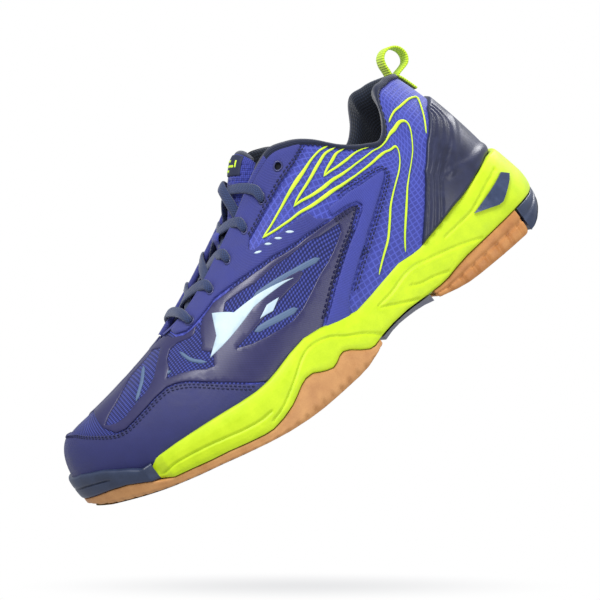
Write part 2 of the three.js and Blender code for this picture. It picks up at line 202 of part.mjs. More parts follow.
// sole unit -------------------------------------------------
const rise = x => lin([[250, 3.6], [262, 2.2], [276, 1.6]], x); // sole rubber thickness under the foot
const own = (p, T, d = 0) => [p[0], p[1], lin(T, p[0]) + d];
const lipIn = X => 3.4 - Math.min(1, Math.max(0, (X - 255) / 6)) * 1.5;
const S_FORE = sOfX(1, 124), S_HEEL = sOfX(1, 88), EXTRA = [S_HEEL, (S_HEEL + .04 * Math.round(S_HEEL / .04 - .6)) / 2, S_FORE, (S_FORE + .48) / 2];
const soleSec = u => { const [sd, s] = fold(u), c = spine(s), X = PX(sd, s), zb = lin(Z_BOT, X), zg = lin(Z_GUM, X) - GAP - .2, cap = p => [p[0], p[1], Math.min(lin(Z_BOT, p[0]) + rise(p[0]) - .2, zg - .6)];
  return [[...c, Math.min(lin(Z_BOT, c[0]) + rise(c[0]) - .2, lin(Z_GUM, c[0]) - GAP - .6)], cap(inset(sd, s, 9, 0)), cap(inset(sd, s, lipIn(X), 0)), inset(sd, s, lipIn(X), zg), inset(sd, s, 1.0, zg), inset(sd, s, .9, (zg + zb) / 2 + .6), inset(sd, s, 1.8, zb + .9), own(inset(sd, s, 3.6, 0), Z_BOT), own(inset(sd, s, 12, 0), Z_BOT), own(c, Z_BOT)]; };
const sF = x => [sOfX(1, x), 2 - sOfX(-1, x)];
{ const a = S_FORE, b = (a + .48) / 2, m = range(.48, 1.52, 26); add('outsole_forefoot', loft([a, b, ...m, 2 - b, 2 - a], soleSec, true), GUM, .55); }
{ const b = S_HEEL, n = Math.round(b / .04 - .6), c = EXTRA[1], g = loft([-b, -c, ...range(-n * .04, n * .04, 2 * n), c, b], soleSec, true);
  add('outsole_heel', keep(g, box(24.4, 100, -60, 60, -5, 40)), GUM, .55);
  add('heel_bumper', keep(g, box(-5, 24, -60, 60, -5, 40)), SLATE, .5); }
// shank plate bridging the two outsoles under the arch
{ const V = [], F = [], xs = range(89.2, 122.6, 6), m = 6; for (const x of xs) { const a = inset(1, sOfX(1, x), 2.2, 0)[1], b = inset(-1, sOfX(-1, x), 2.2, 0)[1], zb = lin(Z_BOT, x) - .4, zt = lin(Z_GUM, x) - 1.0; const ys = range(b, a, m - 1); for (const y of ys) V.push([x, y, zb]); for (const y of [...ys].reverse()) V.push([x, y, zt]); }
  const M = 2 * m; for (let i = 0; i + 1 < xs.length; i++) for (let j = 0; j < M; j++) { const a = i * M + j, b = i * M + (j + 1) % M; F.push([a, b, b + M], [a, b + M, a + M]); } for (const [o] of [[0], [(xs.length - 1) * M]]) for (let j = 0; j + 1 < m; j++) F.push([o + j, o + j + 1, o + M - 2 - j], [o + j, o + M - 2 - j, o + M - 1 - j]);
  add('shank_plate', orient(solid(V, F)), NAVY, .35); }
// midsole cup: side wall with a lip against the upper, floor under the lasting board
{ const sec = u => { const [sd, s] = fold(u), X = PX(sd, s), zb = lin(Z_BOT, X), front = X > 256, zl = front ? Math.min(lin([[256, 29.8], [262, 25.6]], X), lin(Z_FEATHER, X) + 9 - Math.min(1, (X - 256) / 6) * 9.4) : lin(Z_LIME, X), zf = lin(Z_GUM, X), zg = front ? Math.min(zf, zl - .6) : zf, c = spine(s), cz = Math.min(lin(Z_BOT, c[0]) + rise(c[0]), lin(Z_GUM, c[0]) - .6 - GAP) + GAP, k = Math.min(1, Math.max(0, (X - 250) / 5.5)) * 2.75;
    const heel = Math.max(0, 1 - X / 30) * 1.4; let tt = .02; while (put(sd, s, tt, .5)[2] < zl && tt < .6) tt += .004; const low = X > 261 ? inset(sd, s, 1.5 + k, 0) : put(sd, s, .02, GAP + .2), lip = X > 261 ? [low[0], low[1], zl] : put(sd, s, tt, GAP + .05), mid = X > 261 ? [low[0], low[1], zl - .5] : put(sd, s, tt > .15 ? 1 / 7 : Math.max(.03, tt * .5), GAP + .1);
    const tuck = X > 88 && X < 124, under = p => [p[0], p[1], tuck ? zg : Math.min(lin(Z_BOT, p[0]) + rise(p[0]), zf - .6 - GAP) + GAP];
    return [[...c, lin(Z_FEATHER, c[0]) - 1.6], [low[0], low[1], lin(Z_FEATHER, low[0]) - 1.6], mid, [lip[0], lip[1], zl], inset(sd, s, 3.4 + heel + k * .8, zl), inset(sd, s, 1.3 + heel + k, zg + (zl - zg) * .72), inset(sd, s, .3 + k, zg + (zl - zg) * .35), inset(sd, s, 0 + k, zg + (zl - zg) * .16), inset(sd, s, .6 + k, zg), inset(sd, s, Math.max(lipIn(X) + GAP, .8 + k), zg), under(inset(sd, s, Math.max(lipIn(X) + GAP, .8 + k), 0)), under(inset(sd, s, 9, 0)), [...c, (c[0] > 88 && c[0] < 124) ? lin(Z_GUM, c[0]) : cz]]; };
    add('midsole', loft([...ring(50), ...EXTRA, ...EXTRA.map(v => -v)].sort((p, q) => p - q), sec, false), LIME, .45); }
// toe bumper wrapping the front
{ const a = sOfX(1, 258.5), b = 2 - sOfX(-1, 258.5), us = range(a, b, 18), st = us.map(u => { const [sd, s] = fold(u), X = PX(sd, s), lo = lin(Z_GUM, X) + .05, hi = lin(Z_BUMP, X) - .3; return [inset(sd, s, 2.3, lo), inset(sd, s, 2.1, hi), inset(sd, s, .9, hi), inset(sd, s, .1, (lo + hi) / 2), inset(sd, s, .5, lo), inset(sd, s, 2.3, lo)]; });
  const V = st.flatMap(q => q.slice(0, 5)), F = [], M = 5; for (let i = 0; i + 1 < st.length; i++) for (let j = 0; j < M; j++) { const p = i * M + j, q = i * M + (j + 1) % M; F.push([p, q, q + M], [p, q + M, p + M]); } for (const o of [0, (st.length - 1) * M]) F.push([o, o + 1, o + 2], [o, o + 2, o + 3], [o, o + 3, o + 4]);
  add('toe_bumper', orient(solid(V, F)), SLATE, .5); }
// cut gem badges on the rear side walls
for (const sd of [1, -1]) { const poly = [[45.5, 26.7], [17.8, 33.2], [13.9, 29.7], [17.2, 27.4], [28.5, 21.7], [31.5, 21.8]].map(([x, z]) => [sOfX(sd, x), z / VS]);
  const wall = (s, z) => { const X = PX(sd, s), zg = lin(Z_GUM, X), zl = lin(Z_LIME, X), v = (z - zg) / (zl - zg), h = Math.max(0, 1 - X / 30) * 1.4; return lin([[0, .6], [.16, 0], [.35, .3], [.72, 1.3 + h], [1, 3.4 + h]], v); };
  add(sd > 0 ? 'badge_lateral' : 'badge_medial', panel(poly, (u, v, o) => inset(sd, u, wall(u, v * VS) - o, v * VS), { o0: .4, o1: 1.3, du: 6, dv: 6 }), SLATE, .3, .2); }
// lasting board and footbed
const plate = (n, d, z0, z1) => loft(ring(n), u => { const [sd, s] = fold(u), o = put(sd, s, .06, -d), zf = lin(Z_FEATHER, o[0]), c = spine(s), cf = lin(Z_FEATHER, c[0]); return [[...c, cf + z1], [o[0] + (c[0] - o[0]) * .02, o[1] + (c[1] - o[1]) * .02, zf + z1], [o[0], o[1], zf + z0], [...c, cf + z0]]; }, false);
add('strobel_board', plate(50, BASE_T + .9, -1.1, 0), DARK, .9);
add('insole', plate(50, 5.0, .4, 4.4), NAVY, .95);

// upper -----------------------------------------------------
const TOP = .965, S_SEAM = .692, S_VAMP = .696;
const rimT = s => TOP;
for (const sd of [1, -1]) {
  const sg = sd > 0 ? 'lateral' : 'medial', mS = s => s * sd, mp = C => C.map(([s, t]) => [s * sd, t]), map = onFold;
  const low = range(0, 1, 25).map(s => [s * sd, tAbove(sd, s, .45)]), below = [[-.02 * sd, -.1], ...low, [1.02 * sd, low[low.length - 1][1]], [1.02 * sd, -.1]];
  // base fabric of the side, from the heel seam to the vamp seam
  add('quarter_' + sg, panel([[mS(.0012), .02], [mS(S_SEAM), .02], [mS(S_SEAM), .985], [mS(.49), .985], [mS(.485), TOP], [mS(.0012), TOP]], map, { o0: -BASE_T, o1: 0 }), BLUE, .75);
  // clear film over the forefoot mesh
    const sin = mp(C_STRAPIN.map(([s, t]) => [s + .006, t - .008]));
  const film = [[mS(.47), .02], ...[...sin].reverse().filter((p, i) => i < 17), ...mp([[.645, .78], [.678, .795], [.697, .86], [.700, .95], [.71, .972]]), [mS(.73), .985], [mS(.78), .985], [mS(.83), .985], [mS(.872), .985], ...mp([[.868, .62], [.856, .5]]), ...mp(C_TOECAP.slice(7).map(([s, t]) => [s, t + .012])), [mS(.60), .02]];
  const thin = C => C.filter((p, i) => i % 2 === 0), holes = [thin(C_WINA.filter(p => p[1] < .97)), thin(C_WINC), thin(C_WIND.slice(0, 20))].map(mp);
  add('film_overlay_' + sg, panel(film, map, { o0: GAP, o1: GAP + .5, minus: [below, ...holes] }), FILM, .3);
  // eyestay with its rear arm, holes punched for the lace
  const holePoly = ([s, t]) => { const p = upper(sd, s, t), ds = .01, a = upper(sd, s + ds, t), b = upper(sd, s, t - .05), ks = Math.hypot(...a.map((v, i) => v - p[i])) / ds, kt = Math.hypot(...b.map((v, i) => v - p[i])) / .05; return range(0, 7, 7).map(i => [mS(s) + Math.cos(i / 8 * 2 * Math.PI) * EYE_R / ks, t + Math.sin(i / 8 * 2 * Math.PI) * EYE_R / kt]); };
  const eyes = EYES.map(holePoly);
  const eyeClean = [...mp([[.672, .985], [.69, .95], [.689, .87], [.674, .812], [.645, .796]]), ...mp(C_STRAPIN.slice(2, 10).map(([s, t]) => [s, t + .008])), ...mp([[.43, .56], [.438, .60], [.447, .60], [.478, .62], [.511, .655], [.545, .712], [.549, .745], [.541, .775], [.519, .772], [.502, .776], [.481, .785], [.462, .795], [.442, .812], [.425, .85], [.40, .93], [.397, TOP - .006], [.489, TOP - .006], [.492, .985], [.56, .985]])];
  add('eyestay_' + sg, panel(eyeClean, map, { o0: GAP, o1: GAP + OVER_T, minus: eyes }), BLUE, .6);
  // V strap running down to the sole
  const strap = [...mp([[.404, .536], [.371, .56], [.353, .571], [.347, .553], [.352, .515], [.372, .438], [.40, .368], [.439, .264], [.465, .197], [.487, .146], [.52, .02]]), ...mp([[.455, .02], [.436, .15], [.423, .194], [.397, .27], [.37, .349], [.344, .451], [.316, .571], [.301, .638], [.289, .692], [.283, .737], [.288, .742], [.307, .72], [.343, .66], [.378, .602], [.404, .582]])];
  add('side_strap_' + sg, panel(strap, map, { o0: GAP, o1: GAP + OVER_T, minus: [below] }), BLUE, .6);
}
// vamp base: one mesh piece over the toes, open behind for the throat
{ const S = [S_VAMP, ...range(.72, 1, 7)], col = sd => s => range(0, 7, 7).map(j => { const v = j === 0 ? .02 : j / 7, u = sd * s; return { u, v, f: o => laid(u, v, o) }; });
  const rows = [...S.map(col(1)), ...[...S].reverse().slice(1).map(col(-1))];
  add('vamp_mesh', latticeShell(rows, -BASE_T, 0), 0x3d4388, .8); }
// toe cap overlay
{ const A = C_TOECAP, lat = [...A].slice(3).reverse().map(([s, t]) => [s, t - .012]).filter(p => p[0] > .62), mm = ([s, t]) => [2 - s, t];
  const low1 = range(.6, 1, 10).map(s => [s, tAbove(1, s, .45)]), low2 = range(0, 1, 10).map(k => 1 - .4 * k).map(s => [2 - s, tAbove(-1, s, .45)]);
  const poly = [...lat, [.93, .72], [.965, .78], [1, .8], [1.035, .78], [1.07, .72], ...[...lat].reverse().map(mm), [1.42, .02], [.58, .02]];
  add('toe_cap', panel(poly, onFold, { o0: GAP, o1: GAP + OVER_T, minus: [[[.5, -.1], ...low1, ...low2, [1.5, -.1]]] }), BLUE, .6); }
// moulded outer heel counter
{ const A = C_COUNTER.slice(2).map(([s, t]) => [s, t - .012]), top = [[.10, .655], [.05, .70], [0, .715], [-.05, .70], [-.10, .655]];
  const L = [...A].reverse().map(([s, t]) => [s - .004, t]), M = A.map(([s, t]) => [-(s - .004), t]);
  const lo = range(-.36, .36, 18).map(u => { const [sd, s] = fold(u); return [u, tAbove(sd, s, .45)]; });
  add('heel_counter', panel([[.315, .02], ...L, ...top, ...M, [-.315, .02]], onFold, { o0: GAP, o1: GAP + COUNTER_T, minus: [[[-.4, -.1], ...lo, [.4, -.1]]] }), NAVY, .3); }
// inner stiffeners
add('toe_puff', panel([[.86, .08], [1.14, .08], [1.14, .5], [1.08, .7], [1, .78], [.92, .7], [.86, .5]], onFold, { o0: -2.1, o1: -1.4 }), 0x777777, .8);
add('heel_stiffener', panel([[-.2, .09], [.2, .09], [.19, .35], [.12, .5], [.05, .54], [-.05, .54], [-.12, .5], [-.19, .35]], onFold, { o0: -2.6, o1: -1.4 }), 0x8a8070, .8);
// padded collar: foam, lining and binding around the top line
add('collar_foam', panel([[-.40, .60], [.40, .60], [.42, TOP - .01], [-.42, TOP - .01]], onFold, { o0: -5.6, o1: -1.4 }), 0x555566, .95);
add('collar_lining', panel([[-.43, .12], [.43, .12], [.44, TOP - .01], [-.44, TOP - .01]], (u, v, o, k) => onFold(u, v, -6.0 + lin([[.1, 3.0], [.42, 3.0], [.58, 0], [1, 0]], v) - (k ? 0 : .8)), {}), DARK, .9);
add('collar_binding', panel([[-.485, TOP + .012], [.485, TOP + .012], [.485, 1.0], [-.485, 1.0]], (u, v, o, k) => onFold(u, Math.min(v, .9995), k ? .5 : -lin([[0, 6.9], [.38, 6.9], [.46, 1.5], [.5, 1.4]], Math.abs(u))), {}), DARK, .85);

// tongue ------------------------------------------------------
const TQ = (() => { const L = [0]; for (let i = 1; i < TONGUE.length; i++) L.push(L[i - 1] + Math.hypot(TONGUE[i][0] - TONGUE[i - 1][0], TONGUE[i][1] - TONGUE[i - 1][1])); return L; })();
const TLEN = TQ[TQ.length - 1];
function tongue(q, th, dr) { // q 0 front .. 1 top, th roll angle, dr inward depth
  const f = x => crom(TQ, TONGUE, Math.min(TLEN, Math.max(0, x))), c = f(q * TLEN), a = f(q * TLEN - .8), b = f(q * TLEN + .8), l = Math.hypot(b[0] - a[0], b[1] - a[1]), tx = (b[0] - a[0]) / l, tz = (b[1] - a[1]) / l, nx = tz, nz = -tx, R = TONGUE_R, h = R - dr, k = 1 - Math.cos(th);
  return [c[0] - nx * dr * 1 - nx * h * k, h * Math.sin(th), c[1] - nz * dr - nz * h * k];
}
const thMax = q => lin([[0, .75], [.3, .95], [.6, 1.25], [.85, 1.3], [.96, 1.1], [1, .85]], q);
const SPLIT = .685;
function tongueShell(q0, q1, d0, d1, nq, nt) { const V = [], F = [], qs = range(q0, q1, nq), id = (k, i, j) => (k * (nq + 1) + i) * (nt + 1) + j; for (const d of [d0, d1]) for (const q of qs) for (const w of range(-1, 1, nt)) V.push(tongue(q, w * thMax(q), d));
  for (let i = 0; i < nq; i++) for (let j = 0; j < nt; j++) { F.push([id(0, i, j), id(0, i + 1, j), id(0, i + 1, j + 1)], [id(0, i, j), id(0, i + 1, j + 1), id(0, i, j + 1)], [id(1, i, j), id(1, i + 1, j + 1), id(1, i + 1, j)], [id(1, i, j), id(1, i, j + 1), id(1, i + 1, j + 1)]); }
  const w = (a, b) => F.push([a[0], b[0], b[1]], [a[0], b[1], a[1]]), pr = (i, j) => [id(0, i, j), id(1, i, j)];
  for (let i = 0; i < nq; i++) { w(pr(i, 0), pr(i + 1, 0)); w(pr(i + 1, nt), pr(i, nt)); } for (let j = 0; j < nt; j++) { w(pr(0, j + 1), pr(0, j)); w(pr(nq, j), pr(nq, j + 1)); }
  return orient(solid(V, F)); }
for (const [nm, a, b, nq] of [['tongue_lower', 0, SPLIT - .003, 7], ['tongue_upper', SPLIT + .003, 1, 6]]) {
  add(nm + '_shell', tongueShell(a, b, 0, .8, nq, 6), 0x3f45a0, .85);
  add(nm + '_foam', tongueShell(a, b, 1.1, 3.6, nq, 6), 0x555566, .95);
  add(nm + '_lining', tongueShell(a, b, 3.9, 4.5, nq, 6), DARK, .9);
}
{ const V = [], st = range(.80, .945, 5).map(q => ({ q })); const mkp = (q, y, d) => tongue(q, y, -d); const g = (() => { const V = [], F = [], nq = 5, nt = 3, id = (k, i, j) => (k * (nq + 1) + i) * (nt + 1) + j; for (const d of [.42, 1.0]) for (const q of range(.825, .955, nq)) for (const w of range(-.62, .62, nt)) V.push(mkp(q, w, d)); for (let i = 0; i < nq; i++) for (let j = 0; j < nt; j++) F.push([id(0, i, j), id(0, i + 1, j), id(0, i + 1, j + 1)], [id(0, i, j), id(0, i + 1, j + 1), id(0, i, j + 1)], [id(1, i, j), id(1, i + 1, j + 1), id(1, i + 1, j)], [id(1, i, j), id(1, i, j + 1), id(1, i + 1, j + 1)]); const w = (a, b) => F.push([a[0], b[0], b[1]], [a[0], b[1], a[1]]), pr = (i, j) => [id(0, i, j), id(1, i, j)]; for (let i = 0; i < nq; i++) { w(pr(i, 0), pr(i + 1, 0)); w(pr(i + 1, nt), pr(i, nt)); } for (let j = 0; j < nt; j++) { w(pr(0, j + 1), pr(0, j)); w(pr(nq, j), pr(nq, j + 1)); } return orient(solid(V, F)); })(); add('tongue_label', g, NAVY, .6); }

// pull tab: folded webbing loop behind the collar
{ const path = [[13.2, 90.5], [14.6, 95.5], [15.8, 100.5], [14.2, 104.7], [13.4, 108], [14.1, 111.5], [16, 114.4], [19, 116.2], [22.4, 116.2], [24.8, 114.4], [25.8, 110.9], [25.6, 107.4], [24.2, 107.0]].map(p => [p[0] - .9, p[1]]);
  const st = path.map((p, i) => { const a = path[Math.max(0, i - 1)], b = path[Math.min(path.length - 1, i + 1)], l = Math.hypot(b[0] - a[0], b[1] - a[1]), n = [(b[1] - a[1]) / l, -(b[0] - a[0]) / l]; return { c: [p[0], 0, p[1]], w: [0, 5.5, 0], n: [n[0] * 1.1, 0, n[1] * 1.1] }; });
  add('pull_tab', strip(st), LIME, .8); }

// lace: one cord through both eyestays ------------------------
const EP = (sd, n, o) => { const [s, t] = EYES[n]; return put(sd, s, t, o); };
const EDGE = (sd, n, o, f = .97) => { const [s] = EYES[n]; return put(sd, s, f, o); };
const crest = (x, d) => { let best = null; for (let q = 0; q <= 1; q += .004) { const p = tongue(q, 0, -d); if (!best || Math.abs(p[0] - x) < Math.abs(best[0] - x)) best = p; } return best; };
{ const HI = GAP + OVER_T + LACE_R + .4, LO = -BASE_T - LACE_R - .5;
  const half = sd => { const P = []; let side = sd; for (let n = 0; n < 4; n++) { const A = EP(side, n, LO - .4), B = EP(-side, n + 1, HI), eA = EDGE(side, n, LO - .2, .975), eB = EDGE(-side, n + 1, HI + .2, .975), hi = ((side > 0) === (n % 2 === 0)); const mx = (EP(side, n, 0)[0] + EP(-side, n + 1, 0)[0]) / 2, c = crest(mx, hi ? 2.6 : 5.9 + .4);
      P.push(EP(side, n, n ? HI - .6 : HI + .2), EP(side, n, -.2), A, [(A[0] * .55 + eA[0] * .45), eA[1], eA[2]], [c[0], 0, c[2]], [(B[0] * .6 + eB[0] * .4), eB[1], eB[2] + .3]); side = -side; } P.push(EP(side, 4, HI - .3), EP(side, 4, -.2), EP(side, 4, LO), EP(side, 4, LO - 3).map((v, i) => i === 1 ? v * .9 : v)); return P; };
  const bar = EP(1, 0, HI - .4), bar2 = EP(-1, 0, HI - .4), top = crest(bar[0] + 3, 3.4);
  const A = half(1), B = half(-1);
  made.laceA = A; made.laceB = B; made.bar = [EP(1, 0, HI + .4), [top[0], 0, Math.max(top[2], bar[2] + 1.6)], EP(-1, 0, HI + .4)];
  const eA = EDGE(1, 0, HI + .7, .95), eB = EDGE(-1, 0, HI + .7, .95), mid = [(eA[0] + eB[0]) / 2, 0, Math.max(eA[2], eB[2]) + 1.5];
  const pts = [...[...A].reverse(), eA, mid, eB, ...B];
  add('lace', tube(pts, LACE_R, 112, 6), LACE, .85); }
for (const k of Object.keys(made)) if (!made[k].isBufferGeometry) delete made[k];

// punch the eyelets through the base fabric as well
for (const sd of [1, -1]) { const sg = sd > 0 ? 'lateral' : 'medial', mesh = group.children.find(m => m.name === 'quarter_' + sg); let m = toManifold(mesh.geometry);
  for (let n = 0; n < 6; n++) { const c = EP(sd, n, 0), o = EP(sd, n, 1), cyl = new THREE.CylinderGeometry(EYE_R, EYE_R, 6, 10), q = new THREE.Quaternion().setFromUnitVectors(new THREE.Vector3(0, 1, 0), new THREE.Vector3(o[0] - c[0], o[1] - c[1], o[2] - c[2]).normalize()); cyl.applyQuaternion(q); cyl.translate(...c); m = m.subtract(toManifold(cyl)); }
  mesh.geometry = tidy(fromManifold(m)); }

export default group;
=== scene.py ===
import bpy, math, json
import numpy as np
from mathutils import Vector, Matrix
from mathutils.geometry import delaunay_2d_cdt

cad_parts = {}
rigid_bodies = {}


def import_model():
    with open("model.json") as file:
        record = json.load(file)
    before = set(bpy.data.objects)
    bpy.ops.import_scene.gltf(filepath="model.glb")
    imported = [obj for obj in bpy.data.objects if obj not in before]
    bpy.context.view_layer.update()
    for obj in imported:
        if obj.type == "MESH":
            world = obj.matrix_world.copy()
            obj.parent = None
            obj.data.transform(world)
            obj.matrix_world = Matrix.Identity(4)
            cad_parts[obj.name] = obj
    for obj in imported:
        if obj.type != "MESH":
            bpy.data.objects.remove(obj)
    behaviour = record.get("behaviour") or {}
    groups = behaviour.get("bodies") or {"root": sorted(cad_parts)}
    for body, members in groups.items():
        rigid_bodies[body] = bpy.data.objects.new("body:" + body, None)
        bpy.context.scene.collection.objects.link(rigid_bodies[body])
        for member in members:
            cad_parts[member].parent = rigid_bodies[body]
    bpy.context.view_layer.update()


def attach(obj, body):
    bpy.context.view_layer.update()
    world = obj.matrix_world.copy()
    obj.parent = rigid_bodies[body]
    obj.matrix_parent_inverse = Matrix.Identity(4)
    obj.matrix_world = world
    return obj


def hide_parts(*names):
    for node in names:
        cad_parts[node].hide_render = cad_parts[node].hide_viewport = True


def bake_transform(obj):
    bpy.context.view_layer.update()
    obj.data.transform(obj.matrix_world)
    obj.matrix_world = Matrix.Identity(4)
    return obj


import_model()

# All shapes are worked out in design millimetres and written in metres in the CAD frame.
ORG = np.array([142.5, 1.75, 0.0])
D = lambda P: (np.asarray(P, float) - ORG) * 0.001
US, VS = 400.0, 95.0
A = np.array


def lin(T, x):
    T = np.asarray(T, float)
    return np.interp(x, T[:, 0], T[:, 1])


Z_BOT = [[0,13.6],[5,9],[10,5.5],[16,2],[20,.6],[26,0],[60,0],[68,.3],[75,1.4],[84,3.6],[97,6.8],[110,7.5],[120,6.5],[126,4.2],[133,1.9],[138,.6],[145,0],[160,0],[171,.2],[181,.9],[193,2.3],[205,4.4],[217,6.9],[228,9.3],[240,11.4],[251,13.6],[257,15],[264,16.9],[270,18.8],[277,21],[283,24],[285,26]]
Z_GUM = [[0,15.5],[9.6,14.4],[23.5,14.3],[39.8,13.6],[50.8,12.9],[61.4,12.2],[69.3,10.9],[76,9.4],[82,8.9],[91.8,9.2],[103.6,9.9],[114,9.4],[122,8.4],[129.3,6.9],[132.7,7.4],[137.3,10.3],[142,14],[145.5,15.6],[148.7,15.1],[152,13.5],[155,12.8],[158.5,13.9],[161.8,15.4],[166,17.8],[170.6,18.1],[174.8,16.9],[179.8,14.4],[184.8,12.1],[192.3,10],[199.8,8.9],[205,9.4],[214.5,11.4],[224,13.6],[233.4,15.1],[242.6,16.9],[250.7,18.2],[256,20.2],[262,23.5],[269,27],[276,28.8],[285,29.9]]
Z_LIME = [[0,42],[5,42.6],[13,43],[21,41.7],[30,39.9],[41,37.3],[52,35.6],[62,33.3],[70,31.8],[79,29.8],[84,29.8],[93,30.7],[104,28.7],[114,26.9],[125,25.6],[136,28],[147,31.4],[158,32.9],[169,31.7],[179,29.5],[187,28.2],[195,28],[205,28.7],[214,29.6],[224,30.4],[233,30.8],[242,31],[251,30.6],[257,29.9],[285,31]]
Z_BUMP = [[257,30],[261,30.4],[265,33.5],[270,36.5],[274,39.3],[278,41],[282,42.6],[285,42.6]]
Z_FEATHER = [[0,26],[22,25],[40,24],[60,23],[75,22],[90,21],[105,20],[120,19.5],[146,18],[178,17.3],[201,18.3],[219,20],[246,23],[268,25.4],[285,27]]
TONGUE = [[205,69],[200,70],[190,72.8],[180,76.6],[170,80.8],[160,85.2],[152,89],[146,93],[141,97.6],[136,103.6],[130,111],[125,116.6],[121,120],[117,121.6],[113.5,121.4]]
C_TOECAP = [(0.873, 0.887), (0.897, 0.911), (0.906, 0.798), (0.914, 0.682), (0.892, 0.604), (0.871, 0.531), (0.856, 0.486), (0.839, 0.476), (0.805, 0.517), (0.777, 0.546), (0.755, 0.55), (0.741, 0.523), (0.725, 0.479), (0.707, 0.425), (0.689, 0.375), (0.672, 0.32), (0.656, 0.259), (0.638, 0.199), (0.618, 0.143)]
C_WINA = [(0.862, 0.641), (0.845, 0.716), (0.813, 0.816), (0.782, 0.939), (0.757, 0.993), (0.742, 0.996), (0.734, 0.947), (0.725, 0.858), (0.734, 0.816), (0.746, 0.763), (0.761, 0.693), (0.778, 0.649), (0.806, 0.621), (0.828, 0.584), (0.844, 0.585), (0.856, 0.611)]
C_WINC = [(0.746, 0.605), (0.735, 0.648), (0.729, 0.715), (0.716, 0.768), (0.698, 0.779), (0.683, 0.757), (0.671, 0.737), (0.663, 0.766), (0.656, 0.805), (0.649, 0.775), (0.659, 0.735), (0.665, 0.683), (0.668, 0.645), (0.676, 0.611), (0.67, 0.565), (0.664, 0.548), (0.669, 0.509), (0.674, 0.469), (0.687, 0.485), (0.701, 0.519), (0.718, 0.544), (0.734, 0.575)]
C_WIND = [(0.629, 0.636), (0.619, 0.676), (0.615, 0.689), (0.568, 0.589), (0.5, 0.521), (0.436, 0.479), (0.397, 0.489), (0.399, 0.457), (0.41, 0.426), (0.426, 0.389), (0.44, 0.364), (0.462, 0.343), (0.482, 0.319), (0.512, 0.291), (0.536, 0.287), (0.562, 0.311), (0.587, 0.344), (0.611, 0.386), (0.634, 0.445), (0.613, 0.435), (0.554, 0.416), (0.496, 0.397), (0.483, 0.41), (0.488, 0.433), (0.511, 0.457), (0.553, 0.494), (0.584, 0.516), (0.612, 0.554)]
C_STRAPIN = [(0.643, 0.884), (0.639, 0.831), (0.623, 0.784), (0.599, 0.721), (0.571, 0.658), (0.539, 0.607), (0.504, 0.562), (0.471, 0.529), (0.44, 0.515), (0.407, 0.526), (0.371, 0.55), (0.357, 0.561), (0.352, 0.553), (0.359, 0.515), (0.379, 0.438), (0.407, 0.368), (0.446, 0.264), (0.472, 0.197), (0.494, 0.146)]
C_STRAPOUT = [(0.545, 0.701), (0.511, 0.644), (0.478, 0.609), (0.447, 0.587), (0.415, 0.598), (0.378, 0.62), (0.343, 0.672), (0.307, 0.733), (0.283, 0.755), (0.281, 0.737), (0.288, 0.682), (0.301, 0.628), (0.316, 0.561), (0.344, 0.441), (0.37, 0.339), (0.397, 0.26), (0.423, 0.184), (0.436, 0.14), (0.45, 0.096)]
C_EYESEAM = [(0.549, 0.734), (0.541, 0.764), (0.519, 0.76), (0.502, 0.764), (0.481, 0.773), (0.462, 0.781), (0.442, 0.797), (0.42, 0.842), (0.395, 0.909), (0.372, 0.976)]
C_L1TOP = [(0.522, 0.698), (0.498, 0.697), (0.471, 0.711), (0.445, 0.734), (0.417, 0.791), (0.38, 0.876), (0.351, 0.987)]
C_L1BOT = [(0.522, 0.698), (0.496, 0.663), (0.465, 0.629), (0.434, 0.617), (0.401, 0.636), (0.363, 0.674), (0.328, 0.752), (0.291, 0.827), (0.256, 0.893), (0.227, 0.841), (0.224, 0.802), (0.233, 0.771), (0.246, 0.733), (0.266, 0.659), (0.289, 0.568), (0.306, 0.488), (0.313, 0.435), (0.334, 0.305), (0.354, 0.23), (0.373, 0.159), (0.391, 0.102)]
C_L2TOP = [(0.454, 0.663), (0.431, 0.703), (0.404, 0.762), (0.377, 0.833), (0.359, 0.9), (0.34, 0.983)]
C_L2BOT = [(0.454, 0.663), (0.425, 0.663), (0.395, 0.681), (0.358, 0.735), (0.322, 0.828), (0.282, 0.915), (0.244, 0.965), (0.22, 0.912), (0.191, 0.786), (0.168, 0.707), (0.172, 0.678), (0.182, 0.653), (0.198, 0.653), (0.22, 0.653), (0.24, 0.634), (0.259, 0.568), (0.278, 0.456), (0.295, 0.353), (0.308, 0.268), (0.319, 0.178), (0.324, 0.148)]
C_L3TOP = [(0.386, 0.738), (0.359, 0.829), (0.342, 0.916), (0.326, 0.985)]
C_L3BOT = [(0.386, 0.738), (0.358, 0.786), (0.334, 0.857), (0.311, 0.925), (0.294, 0.956), (0.283, 0.968)]
C_L4 = [(0.203, 0.901), (0.183, 0.819), (0.157, 0.779), (0.125, 0.778), (0.086, 0.75), (0.096, 0.723), (0.114, 0.676), (0.131, 0.635), (0.147, 0.595), (0.159, 0.568)]
C_COUNTER = [(0.044, 0.713), (0.057, 0.679), (0.122, 0.631), (0.159, 0.568), (0.189, 0.541), (0.219, 0.531), (0.245, 0.439), (0.268, 0.314), (0.288, 0.194), (0.297, 0.138)]
C_LIMETOP = [(0.861, 0.067), (0.836, 0.097), (0.803, 0.127), (0.771, 0.14), (0.739, 0.149), (0.707, 0.151), (0.676, 0.149), (0.644, 0.142), (0.621, 0.143), (0.598, 0.155), (0.567, 0.172), (0.535, 0.173), (0.5, 0.149), (0.483, 0.126), (0.465, 0.102), (0.448, 0.082), (0.432, 0.071), (0.416, 0.073), (0.401, 0.085), (0.371, 0.111), (0.342, 0.147), (0.326, 0.155), (0.31, 0.144), (0.299, 0.134), (0.286, 0.147), (0.271, 0.159), (0.247, 0.177), (0.215, 0.194), (0.179, 0.182), (0.14, 0.188)]

